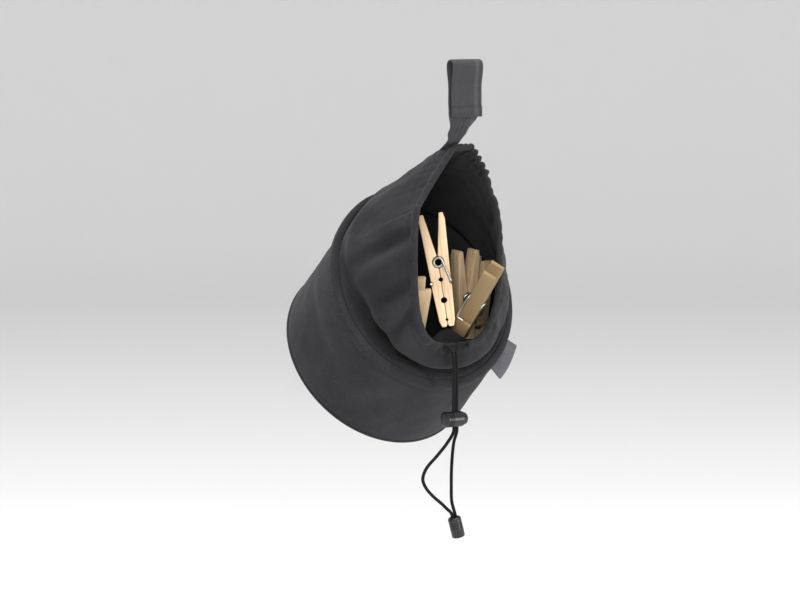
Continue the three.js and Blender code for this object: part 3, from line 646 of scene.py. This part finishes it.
# Short stitches along a line, each a rounded bar with six sides that lies on the cloth
def stitchPiece(name, line, ups, length, gap, radius):
    points, faces = [], []
    sixths = [pi * k / 3 for k in range(6)]
    distance, start = 0, gap
    for here, there, up in zip(line, line[1:], ups):
        step, along = (there - here).length, (there - here).normalized()
        while start <= distance + step:
            point, side = here.lerp(there, (start - distance) / step), along.cross(up).normalized()
            first = len(points)
            for place, size, sink in stitchRings:
                middle = point + along * place * length - up * radius * sink
                points += [(middle + (side * cos(t) + up * sin(t)) * radius * size) * mm for t in sixths]
            for ring in range(first, first + 18, 6):
                faces += [(ring + k, ring + (k + 1) % 6, ring + (k + 1) % 6 + 6, ring + k + 6) for k in range(6)]
            faces += [tuple(range(first, first + 6))[::-1], tuple(range(first + 18, first + 24))]
            start += length + gap
        distance += step
    piece = meshPiece(name, points, [], faces)
    piece.data.uv_layers.new(name="UVMap")
    editWhole(piece, faceOutward)
    return piece


# Bucket: canvas wall, round bottom and piping in the bottom seam
bucketForm = dict(
    columns=240, rows=36, cloth=1.4, wallTop=0.6, wallLess=0.7, turnIn=0.9, turnDepth=4, topSag=1.4, lowSwell=1.6,
    ripple=1.5, rippleSize=30, fineRipple=0.4, fineSize=9,
    ridge=0.9, ridgeAngle=268, ridgeSpan=26, ridgeDepth=21, dipDepth=31, ridgeWidth=5,
    creaseRim=198, creaseBase=236, creaseHills=((3.4, 25, 23), (-1.5, -2, 9)),
    baseRings=24, baseFaces=(0.2, 1.7), baseHole=0.004, baseWave=0.8, baseWaveSize=24,
    weltRadius=1.0, weltInset=0.3, weltSides=10)


def wallPoint(depth, angle, inset):
    form = bucketForm
    share = depth / bag["depth"]
    fade = sin(pi * min(1, max(0, share)))
    point = bucketPoint(depth, 0, angle)
    offset = form["ripple"] * fade * (clothNoise(point, form["rippleSize"], 1)
                                      + form["fineRipple"] * clothNoise(point, form["fineSize"], 2))
    offset += fade * mix(form["lowSwell"], -form["topSag"], (cos(angle) + 1) / 2)
    # A low ridge round the left side, with a dip behind it
    left = bump(turnFrom(angle, form["ridgeAngle"]), 0, form["ridgeSpan"])
    offset += form["ridge"] * left * (bump(depth, form["ridgeDepth"], form["ridgeWidth"])
                                      - bump(depth, form["dipDepth"], form["ridgeWidth"]))
    # A slack crease from the base to the rim, low on the left: the wall hangs out over it
    crease = mix(form["creaseRim"], form["creaseBase"], share)
    above = radians(degrees(angle) % 360 - crease) * bag["baseRadius"]
    offset += fade * sum(height * bump(above, place, width) for height, place, width in form["creaseHills"])
    over = smoothStep(bag["depth"] - form["turnDepth"], bag["depth"], depth)
    return bucketPoint(depth, offset - form["turnIn"] * over * over - inset, angle)


def makeBucket():
    form = bucketForm
    angles = ringAngles(form["columns"])
    depths = [form["wallTop"] + (bag["depth"] - form["wallLess"]) * i / (form["rows"] - 1)
              for i in range(form["rows"])]
    rings = [[wallPoint(depth, angle, inset) for angle in angles]
             for run, inset in ((depths, 0), (depths[::-1], form["cloth"])) for depth in run]
    wall = dress(loftPiece("bucketWall", rings, loop=True), wallCanvas, "bag", "cloth", "bucket_wall")
    edge = -bag["wall"] - bag["fit"]
    shares = [i / form["baseRings"] for i in range(form["baseRings"] + 1)]
    rings = []
    for height, run in zip(form["baseFaces"], (shares, shares[::-1])):
        depth = bag["depth"] - height
        for share in run:
            offset = (bag["baseRadius"] + edge) * max(share, form["baseHole"]) - bag["baseRadius"]
            ring = []
            for angle in angles:
                wave = clothNoise(bucketPoint(depth, offset, angle), form["baseWaveSize"], 3) * form["baseWave"]
                ring.append(bucketPoint(depth + wave * (1 - share ** 4), offset, angle))
            rings.append(ring)
    base = dress(loftPiece("basePanel", rings), wallCanvas, "bag", "cloth", "base_panel")
    depth, offset, radius = bag["depth"] - form["weltInset"], -form["turnIn"] * 0.5, form["weltRadius"]
    rings = [[bucketPoint(depth + radius * sin(t), offset + radius * cos(t), angle)
              for t in ringAngles(form["weltSides"])] for angle in angles]
    welt = dress(loftPiece("baseWelt", rings, loop=True), wallCanvas, "bag", "cloth")
    board = frame["nodes"]["base_board"].data.materials
    board.clear()
    board.append(boardPlastic)


# Binding: tape folded over the rim. Its section is in (depth, offset) from the rim's line: outside, round the edge,
# back along the inside, and then the side of the fold that lies on the wall.
bindingForm = dict(
    columns=360, wander=0.3, wanderSize=17, edgeDepth=3, puff=0.16, puffSize=3, foldMiddle=-0.9,
    seamDepth=3.6, seamOffset=1.5, stitch=2.6, stitchGap=1.1, stitchRadius=0.3,
    section=((5.0, 0.4), (5.1, 0.9), (4.8, 1.4), (4.3, 1.62), (3.6, 1.45), (2.6, 1.72), (1.2, 1.75), (-0.3, 1.6),
             (-1.1, 1.15), (-1.5, 0.3), (-1.6, -0.9), (-1.5, -2.1), (-1.1, -2.9), (-0.3, -3.3), (1.2, -3.45),
             (2.6, -3.4), (3.8, -3.4), (4.8, -3.2), (5.1, -2.7), (5.0, -2.2), (2.5, -2.15), (-0.2, -2.1),
             (-0.25, 0.3), (2.5, 0.35)))


def makeBinding():
    form = bindingForm
    angles = ringAngles(form["columns"])
    seamDepth, seamOffset = form["seamDepth"], form["seamOffset"]
    rings, line, ups = [], [], []
    for angle in angles + [2 * pi]:
        place = bucketPoint(0, 0, angle)
        wander = form["wander"] * clothNoise(place, form["wanderSize"], 4)
        puff = form["puff"] * clothNoise(place, form["puffSize"], 5)
        rings.append([bucketPoint(depth + (wander if depth > form["edgeDepth"] else 0),
                                  offset + copysign(puff, offset - form["foldMiddle"]), angle)
                      for depth, offset in form["section"]])
        line.append(bucketPoint(seamDepth + wander, seamOffset, angle))
        out = bucketPoint(seamDepth, seamOffset + 1, angle) - bucketPoint(seamDepth, seamOffset, angle)
        ups.append(out.normalized())
    binding = dress(loftPiece("rimBinding", rings[:-1], loop=True), bindingTape, "bag", "webbing", "rim_binding")
    stitches = stitchPiece("rimStitches", line, ups, form["stitch"], form["stitchGap"], form["stitchRadius"])
    dress(stitches, sewingThread, "bag", "webbing")


makeBucket()
makeBinding()
print("bucket ready")


# Collar: thin cloth from the rim to the mouth, gathered on the drawstring in its rolled hem.
# Turns are in degrees, topTurn in cosines, and places from the rim to the mouth are shares of that run.
collarForm = dict(
    columns=560, rows=40, run=0.97, cloth=0.9, tuck=(8, 4, 0), seat=2.6,
    hemRadius=2.2, hemGather=0.45, hemOval=(1.1, 0.85), hemTurns=(145, 118, 90, 60, 30, 0, -30, -60, -90, -118, -145),
    gapX=-1, gapTop=-165, gapEnds=(11.5, 8.5), gapRadius=1.0, gapSetBack=2.4, cordLift=0.8, cordSides=12,
    casing=0.86, casingDip=0.4, casingWidth=0.035, casingRows=(-0.03, -0.015, 0.015, 0.03),
    gatherReach=(0.3, 0.62), gatherSpacing=(12, 5), gatherMean=0.64, wander=0.6, wanderSize=12, uneven=0.9,
    unevenSize=7, ripple=1.2, rippleSize=15, fineRipple=0.35, fineSize=5, rippleStart=0.2, reliefStart=0.05,
    rimRecess=3.4, recessAt=(0.065, 0.065), recessTop=0.8, topTurn=(-0.2, 0.6), topLead=2.4, leadAt=(0.14, 0.12),
    bottomHollow=12, hollowStart=(122, 160), hollowEnd=(285, 245), hollowAt=(0.13, 0.13),
    tailCover=3, tailHalf=7, tailStart=(0.35, 0.65), tailEnd=(1, 0.9), stitch=2.2, stitchGap=1.2, stitchRadius=0.2,
    stitchProud=0.1)
# Gathers round the mouth: place in degrees, spacing and height in millimetres
gatherPlaces = [
    (0, 5, 0.5), (14, 4.6, 1.6), (30, 4.4, 2.2), (44, 5.2, 1.4), (60, 7, 0.5), (90, 9, 0.45), (140, 8, 0.7),
    (180, 7, 1.0), (225, 9, 0.8), (260, 12, 0.6), (300, 10, 0.5), (335, 7, 0.6), (360, 5, 0.5)]
# Folds that run from the hem to the rim: place and width in degrees, height, then middle and width along the run
collarFolds = [
    (279, 4.4, -5, 0.7, 0.4), (268, 6, 3, 0.7, 0.4), (250, 4.6, -5.4, 0.75, 0.4), (240, 5, 2.6, 0.75, 0.4),
    (230, 4.4, -5, 0.7, 0.36), (296, 7, -2.6, 0.7, 0.4), (318, 7, 1.4, 0.6, 0.4), (18, 5, -2.2, 0.55, 0.35),
    (75, 7, -1.5, 0.6, 0.4), (110, 8, 1.6, 0.5, 0.4), (128, 6, -2.0, 0.6, 0.4)]
# Hollows just inside the rim, where the slack cloth sinks between the folds
collarFolds += [(place, width, height, 0.16, 0.15) for place, width, height in (
    (233, 9, -7), (207, 9, -9), (184, 6, -3), (165, 9, -8), (146, 7, -5), (255, 8, -4))]
collarFolds += [(195, 45, 5, 0.58, 0.27)]  # the low front swells out over them


def gatherAt(place):
    for a, b in zip(gatherPlaces, gatherPlaces[1:]):
        if place <= b[0]:
            share = (place - a[0]) / (b[0] - a[0])
            return mix(a[1], b[1], share), mix(a[2], b[2], share)
    return gatherPlaces[-1][1:]


# Where the collar leaves the rim, the middle of the hem, and the ways out of the mouth and into the bag
def collarRun(angle, aside=0.03):
    start = bucketPoint(-bag["collarLead"], collarOffset, angle)
    end = mouthPoint(angle)
    along = (mouthPoint(angle + aside) - mouthPoint(angle - aside)).normalized()
    square = end - start
    square = (square - along * square.dot(along)).normalized()
    inward = along.cross(square)
    if inward.dot(Vector((0, bag["rimY"] + bag["heart"], bag["rimZ"])) - end) < 0:
        inward.negate()
    return start, end, square, inward


def evenAngles(count, fineCount=4000):  # columns spread evenly along the mouth and the rim together
    fine = [2 * pi * i / fineCount for i in range(fineCount + 1)]
    reach = [0]
    for a, b in zip(fine, fine[1:]):
        rim = (bucketPoint(0, 0, b) - bucketPoint(0, 0, a)).length
        reach.append(reach[-1] + (mouthPoint(b) - mouthPoint(a)).length + 0.5 * rim)
    angles, i = [], 0
    for k in range(count):
        goal = reach[-1] * k / count
        while reach[i + 1] < goal:
            i += 1
        angles.append(mix(fine[i], fine[i + 1], (goal - reach[i]) / (reach[i + 1] - reach[i])))
    return angles


def collarColumns():
    form = collarForm
    columns, phase, last = [], 0, None
    for angle in evenAngles(form["columns"]):
        start, end, square, inward = collarRun(angle)
        spacing, height = gatherAt(degrees(angle))
        if last is not None:
            phase += (end - last).length / spacing
        last = end
        wander = form["wander"] * clothNoise(end, form["wanderSize"], 6)
        height *= 1 + form["uneven"] * clothNoise(end, form["unevenSize"], 10)
        ridge = abs(sin(pi * (phase + wander)))
        columns.append(dict(angle=angle, start=start, end=end, square=square, inward=inward,
                            gather=height * (ridge - form["gatherMean"]), spacing=spacing))
    return columns


# Height of the folded cloth over its plain surface, out of the bag
def collarRelief(column, share):
    form, angle = collarForm, column["angle"]
    reach = mix(*form["gatherReach"], smoothStep(*form["gatherSpacing"], column["spacing"]))
    height = column["gather"] * smoothStep(reach, 1, share)
    for place, width, rise, middle, length in collarFolds:
        height += rise * bump(turnFrom(angle, place), 0, width) * bump(share, middle, length)
    turn = degrees(angle) % 360
    sunk = smoothStep(*form["hollowStart"], turn) * smoothStep(*form["hollowEnd"], turn)
    height -= form["bottomHollow"] * sunk * bump(share, *form["hollowAt"])
    height -= form["casingDip"] * bump(share, form["casing"], form["casingWidth"])
    top = smoothStep(*form["topTurn"], cos(angle))
    height -= form["rimRecess"] * (1 - form["recessTop"] * top) * bump(share, *form["recessAt"])
    return height + form["topLead"] * top * bump(share, *form["leadAt"])


def collarSheet(column, share, inset):
    form, angle = collarForm, column["angle"]
    point = column["start"].lerp(column["end"] - column["square"] * form["seat"], share)
    swell = sin(pi * share)
    point.x += bag["swell"] * swell * sin(angle)
    point.z += bag["rise"] * swell * max(0, cos(angle))
    ripple = form["ripple"] * smoothStep(0, form["rippleStart"], share) * (
        clothNoise(point, form["rippleSize"], 7) + form["fineRipple"] * clothNoise(point, form["fineSize"], 8))
    height = collarRelief(column, share) * smoothStep(0, form["reliefStart"], share) + ripple
    if cos(angle) > 0:  # the cloth lies over the strap's sewn end
        height += form["tailCover"] * bump(point.x, 0, form["tailHalf"]) * smoothStep(
            *form["tailStart"], share) * smoothStep(*form["tailEnd"], share)
    return point - column["inward"] * (height - inset)


def hemMiddle(column):
    return column["end"] - column["inward"] * column["gather"] * collarForm["cordLift"]


def hemRing(column):  # thin and set back in the gap where the cord leaves
    form, end, inward = collarForm, column["end"], column["inward"]
    inGap = smoothStep(*form["gapEnds"], abs(end.x - form["gapX"])) if end.z < form["gapTop"] else 0
    radius = mix(form["hemRadius"] + form["hemGather"] * column["gather"], form["gapRadius"], inGap)
    middle = hemMiddle(column) + inward * form["gapSetBack"] * inGap
    long, short = form["hemOval"]
    return [middle + (column["square"] * long * cos(t) - inward * short * sin(t)) * radius
            for t in map(radians, form["hemTurns"])]


def makeCollar():
    form = collarForm
    columns = collarColumns()
    shares = sorted([i / (form["rows"] - 1) * form["run"] for i in range(form["rows"])]
                    + [form["casing"] + d for d in form["casingRows"]])
    hems = [hemRing(column) for column in columns]
    rings = [[bucketPoint(depth, collarOffset, c["angle"]) for c in columns] for depth in form["tuck"]]
    rings += [[collarSheet(c, share, 0) for c in columns] for share in shares]
    rings += [list(row) for row in zip(*hems)]
    rings += [[collarSheet(c, share, form["cloth"]) for c in columns] for share in shares[::-1]]
    inner = collarOffset - form["cloth"]
    rings += [[bucketPoint(depth, inner, c["angle"]) for c in columns] for depth in form["tuck"][::-1]]
    collar = loftPiece("collarCloth", rings, loop=True)
    dress(collar, collarCloth, "bag", "thin_cloth", "collar", "mouth_hem")
    inCasing = [hemMiddle(c) for c in columns
                if abs(c["end"].x - form["gapX"]) > cord["exitHalf"] or c["end"].z > form["gapTop"]]
    lowest = min(range(len(inCasing)), key=lambda i: inCasing[i].z if inCasing[i].x > 0 else 0)
    inCasing = inCasing[lowest + 1:] + inCasing[:lowest + 1]
    string = loftPiece("drawstringCord", tubeRings(inCasing, cord["radius"], form["cordSides"]))
    dress(string, cordBraid, "bag", "cordage", "drawstring")
    seam = [collarSheet(c, form["casing"], -form["stitchProud"]) for c in columns + columns[:1]]
    ups = [-c["inward"] for c in columns + columns[:1]]
    stitches = stitchPiece("casingStitches", seam, ups, form["stitch"], form["stitchGap"], form["stitchRadius"])
    dress(stitches, sewingThread, "bag", "thin_cloth")


# Slack: the folded cloth inside the mouth, which the pegs stand on
slackForm = dict(
    frontY=13.9, backY=60, slopeFront=13.7, slopeBack=58, frontZ=-170, backZ=-205, sink=0.15, frontDrop=9,
    dropLength=3.2, crestZ=-166.4, crestHalf=10, crestBack=20, crestFade=10, folds=2.6, foldLength=4.1,
    foldWander=2.2, wanderSize=14, frontHalf=17, backHalf=44, fullY=42, columns=90, rows=60, cloth=0.9)


def slackHeight(x, y):
    form = slackForm
    slope = mix(form["frontZ"], form["backZ"], (y - form["slopeFront"]) / (form["slopeBack"] - form["slopeFront"]))
    ridge = bump(x, 0, form["crestHalf"]) * bump(max(0, y - form["crestBack"]), 0, form["crestFade"])
    top = mix(slope, max(slope, form["crestZ"]), ridge)
    wander = form["foldWander"] * clothNoise(Vector((x, y, 0)), form["wanderSize"], 9)
    waves = 0.5 + 0.5 * sin(x / form["foldLength"] + wander)
    drop = form["frontDrop"] * smoothStep(form["frontY"] + form["dropLength"], form["frontY"], y)
    return top - form["sink"] - drop - form["folds"] * waves * (1 - ridge)


def makeSlack():
    form = slackForm
    rings = []
    for j in range(form["rows"]):
        y = mix(form["frontY"], form["backY"], j / (form["rows"] - 1))
        half = mix(form["frontHalf"], form["backHalf"], smoothStep(form["frontY"], form["fullY"], y))
        line = [half * (2 * i / (form["columns"] - 1) - 1) for i in range(form["columns"])]
        top = [Vector((x, y, slackHeight(x, y))) for x in line]
        rings.append(top + [point - Vector((0, 0, form["cloth"])) for point in reversed(top)])
    # painted shade: the slack under the pegs takes the darker copy of the collar cloth
    slack = dress(loftPiece("collarSlack", rings), slackClothPaintedShade, "bag", "thin_cloth", "collar_slack")


makeCollar()
makeSlack()
print("collar ready")


# Strap: one strip of webbing over the rail, with a flap that closes on hook and loop tape
strap = dict(
    width=23, thickness=1.1, edge=0.5, edgeThin=0.45, sharp=50, step=0.8, arch=3.2, archZ=0.3, loop=2.6, layer=1.65,
    closure=(12, 22), flapLength=32, footWidth=14, footY=9, footZ=-43.4, toFoot=13, footFade=2, tailWidth=10,
    tailFade=6, tailThin=0.35, thinning=(4, 18), tailRests=((0.8, 1), (0.7, 0.5)), pleats=5, pleatHeight=0.45,
    pleatBefore=3, pleatLength=6, hemLength=7.5, hemThickness=0.6, hemOut=0.86,
    hemNarrower=0.2, hinge=(0, 9.5, -43.3), bend=(0, 1.4, -1.6), stitch=2.2, stitchGap=1.0, stitchRadius=0.22,
    stitchOut=1.22, stitchHalf=10.4, stitchAbove=1.6, stitchBelow=1.4)
tapes = dict(width=20, thickness=0.56, y=0.45, top=-13.5, length=17, steps=34, across=40, pile=0.16, pileSize=0.7)


# A strip through points in the middle plane. formAt gives its width, its thickness and the height of its lengthwise
# pleats at a distance along it.
def ribbonPiece(name, line, formAt, across=22, pile=0):
    rings, distance = [], 0
    for before, point, after in withNeighbours(line):
        distance += (point - before).length
        out = Vector((1, 0, 0)).cross((after - before).normalized())
        width, thick, pleat = formAt(distance)
        half = width / 2
        ring = []
        for face in (1, -1):
            for k in range(across + 1):
                x = half * (2 * k / across - 1) * face
                spot = point + Vector((x, 0, 0))
                edge = min(1, (half - abs(x)) / strap["edge"])
                lift = face * thick / 2 * mix(strap["edgeThin"], 1, sqrt(edge))
                lift += pleat * sin(pi * strap["pleats"] * x / half)
                lift += face * pile * edge * noise.noise(spot / tapes["pileSize"])
                ring.append(spot + out * lift)
        rings.append(ring)
    return loftPiece(name, rings)


def makeStrap():
    width, thickness, sharp = strap["width"], strap["thickness"], strap["sharp"]
    # One half of the loop over the rail as (Y, Z), from the top to the end of the closure
    half = [(strap["arch"] * sin(t), strap["archZ"] + strap["arch"] * cos(t)) for t in quarterTurn]
    half += [(strap["arch"], -strap["loop"]), *[(strap["layer"], -down)
                                                 for down in (*strap["closure"], strap["flapLength"])]]
    start, end, square, inward = collarRun(0)
    rest = bag["fit"] + thickness / 2
    tail = [end - inward * (bag["hem"] + rest)]
    for share, above in strap["tailRests"]:
        point = start.lerp(end - square * (bag["hem"] + bag["fit"]), share)
        point.z += bag["rise"] * sin(pi * share)
        tail.append(point - inward * (above * rest))
    back = smoothLine([*[(0, y, z) for y, z in half], (0, strap["footY"], strap["footZ"]), *tail], strap["step"])
    toFlapEnd = lineLength([p for p in back if p.z > -strap["flapLength"]])
    toFoot = toFlapEnd + strap["toFoot"]

    def backForm(distance):  # narrows and pleats towards the foot, and is pressed flat at its sewn end
        past, fade = distance - toFoot, strap["footFade"]
        wide = mix(width, strap["footWidth"], smoothStep(-strap["toFoot"] - fade, -fade, past))
        wide = mix(wide, strap["tailWidth"], smoothStep(0, strap["tailFade"], past))
        thin = mix(1, strap["tailThin"], smoothStep(*strap["thinning"], past))
        return wide, thickness * thin, strap["pleatHeight"] * bump(past, -strap["pleatBefore"], strap["pleatLength"])

    band = ribbonPiece("strapBand", back, backForm)
    dress(band, strapWebbing, None, "webbing", "strap_band", "strap_tail", angle=sharp)
    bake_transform(band)
    front = smoothLine([(0, -y, z) for y, z in half], strap["step"])
    flap = ribbonPiece("strapFlap", front, lambda distance: (width, thickness, 0))
    dress(flap, strapWebbing, None, "webbing", "strap_flap", angle=sharp)
    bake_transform(flap)
    foldLine = [p - Vector((0, strap["hemOut"], 0)) for p in front
                if p.z < -strap["flapLength"] + strap["hemLength"]]
    hem = ribbonPiece("strapFlapHem", foldLine,
                      lambda distance: (width - strap["hemNarrower"], strap["hemThickness"], 0))
    dress(hem, strapWebbing, "strap_flap", "webbing", angle=sharp)
    places = {"hookTape": (-1, "hook_tape", "strap_flap"), "loopTape": (1, "loop_tape", "strap")}
    for name, (side, node, body) in places.items():
        line = [Vector((0, side * tapes["y"], tapes["top"] - tapes["length"] * i / tapes["steps"]))
                for i in range(tapes["steps"] + 1)]
        tape = ribbonPiece(name, line, lambda distance: (tapes["width"], tapes["thickness"], 0),
                           tapes["across"], tapes["pile"])
        dress(tape, closureTape, body, "cordage", node, angle=sharp)
    for name, height in (("flapStitchesUpper", strap["hemLength"] - strap["stitchBelow"]),
                         ("flapStitchesLower", strap["stitchAbove"])):
        line = [Vector((x, -strap["layer"] - strap["stitchOut"], -strap["flapLength"] + height))
                for x in (-strap["stitchHalf"], 0, strap["stitchHalf"])]
        stitches = stitchPiece(name, line, [Vector((0, -1, 0))] * 3,
                               strap["stitch"], strap["stitchGap"], strap["stitchRadius"])
        dress(stitches, sewingThread, "strap_flap", "webbing")


# Label: a short satin tape folded double and sewn into the rim, left blank. Its section is in (out, side).
label = dict(
    length=26, steps=36, angle=134.5, depth=2.2, root=1.8, curl=0.7, curlLength=5.5, droop=1.2, sharp=45,
    outside=((-0.6, 0.5), (1.5, 0.5), (3.5, 0.52), (6.2, 0.5), (7.4, 0.38), (8, 0), (7.4, -0.38), (6.2, -0.5),
             (3.5, -0.52), (1.5, -0.5), (-0.6, -0.5)),
    inside=((-0.6, -0.1), (3, -0.1), (6.9, -0.1), (7.1, 0), (6.9, 0.1), (3, 0.1), (-0.6, 0.1)))


def makeLabel():
    depth, root, height = label["depth"], label["root"], max(out for out, side in label["outside"])
    rings = []
    for i in range(label["steps"] + 1):
        share = i / label["steps"]
        place = (share - 0.5) * label["length"]
        angle = radians(label["angle"]) + place / (bag["rimRadius"] + root)
        foot = bucketPoint(depth, root, angle)
        radial = (bucketPoint(depth, root + 1, angle) - foot).normalized()
        flat = (bucketPoint(depth, root, angle + 0.01) - foot).normalized().cross(radial)
        bend = flat * (label["curl"] * sin(place / label["curlLength"])) + Vector((0, 0, -label["droop"] * share))
        rings.append([foot + radial * out + bend * (out / height) ** 2 + flat * side
                      for out, side in label["outside"] + label["inside"]])
    dress(loftPiece("labelTag", rings), labelSatin, "bag", "label_cloth", "label_tag", angle=label["sharp"])


makeStrap()
makeLabel()
print("strap and label ready")


# Pegs: two shaped wooden legs held by a wire spring. Each peg's own frame comes from its joints.
# The last list gives each peg's share of painted shade on its wood.
peg = dict(
    width=9.4, pivot=41, hook=28, waist=6.4, groove=1.2, wire=0.8, wireSides=10, coil=2.8, turns=3, steps=90,
    reach=3.5, fit=0.3, edge=0.4, cornerRadius=1.3, twistHalf=4, flatAngle=2, edgeAngle=28, sharp=30, wireSharp=60,
    pegShade=(0, 0.4, 0.65, 1, 0.55))


def pegFrame(number):
    lift, squeeze = [joints[f"peg_{number}_{name}"] for name in ("lift", "squeeze")]
    along, deep = Vector(lift["axis"]).normalized(), -Vector(squeeze["axis"]).normalized()
    return Vector(squeeze["pos_m"]), along.cross(deep), along, deep


def springLine():
    armZ = peg["width"] / 2 + peg["fit"] + peg["wire"]
    hookX = peg["waist"] - peg["groove"] + peg["fit"] + peg["wire"]
    drop, radius, steps = peg["pivot"] - peg["hook"], peg["coil"], peg["steps"]
    start = atan2(-drop, hookX) + acos(radius / hypot(hookX, drop))
    sweep = pi - 2 * start + 2 * pi * peg["turns"]
    coil = [Vector((radius * cos(start + sweep * i / steps), radius * sin(start + sweep * i / steps),
                    mix(armZ, -armZ, i / steps))) for i in range(steps + 1)]
    tipZ = peg["width"] / 2 - peg["reach"]

    def arm(coilEnd, side):  # from the hook's tip round its corner and up to the coil
        corner = Vector((side * hookX, -drop, side * armZ))
        tip = Vector((side * hookX, -drop, side * tipZ))
        toCoil, toTip = (coilEnd - corner).normalized(), (tip - corner).normalized()
        bend = [corner + toTip * peg["cornerRadius"] * (1 - sin(t)) + toCoil * peg["cornerRadius"] * (1 - cos(t))
                for t in quarterTurn]
        run = [corner.lerp(coilEnd, share) for share in (0.3, 0.5, 0.7, 0.9)]
        return [tip, tip.lerp(corner, 0.3), *bend, *run]

    return arm(coil[0], 1) + coil + arm(coil[-1], -1)[::-1]


def makeLeg(number, leg, body):
    node = f"peg_{number}_leg_{leg}"
    pivot, *axes = pegFrame(number)
    piece = addObject(f"peg{number}{leg.title()}Leg", frame["nodes"][node].data.copy())
    editWhole(piece, (bpy.ops.mesh.remove_doubles, dict(threshold=1e-5)),
              (bpy.ops.mesh.dissolve_limited, dict(angle_limit=radians(peg["flatAngle"]))))
    applyModifier(piece, "BEVEL", width=peg["edge"] * mm, segments=3, limit_method="ANGLE",
                  angle_limit=radians(peg["edgeAngle"]), use_clamp_overlap=True)
    applyModifier(piece, "TRIANGULATE")
    grain = piece.data.attributes.new("grain", "FLOAT_VECTOR", "POINT")
    shift = Vector((0.11 * number, 0.37 * number, 0.05 if leg == "fixed" else 0.19))  # its own place in the wood
    for vertex, value in zip(piece.data.vertices, grain.data):
        value.vector = Vector([(vertex.co - pivot).dot(axis) for axis in axes]) + shift
    # painted shade: every vertex of the leg gets its peg's share of darkening
    pegShade = piece.data.attributes.new("pegShade", "FLOAT", "POINT")
    pegShade.data.foreach_set("value", [peg["pegShade"][number - 1]] * len(piece.data.vertices))
    dress(piece, pegBirch, body, "wood", node, angle=peg["sharp"])


def makePegs():
    local = springLine()
    for number in range(1, 6):
        makeLeg(number, "fixed", f"peg_{number}")
        makeLeg(number, "moving", f"peg_{number}_lever")
        pivot, across, along, deep = pegFrame(number)
        line = [(pivot / mm) + across * p.x + along * p.y + deep * p.z for p in local]
        spring = loftPiece(f"peg{number}Spring", tubeRings(line, peg["wire"], peg["wireSides"]))
        dress(spring, zincWire, None, "steel", f"peg_{number}_spring", angle=peg["wireSharp"])
        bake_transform(spring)


makePegs()
print("pegs ready")
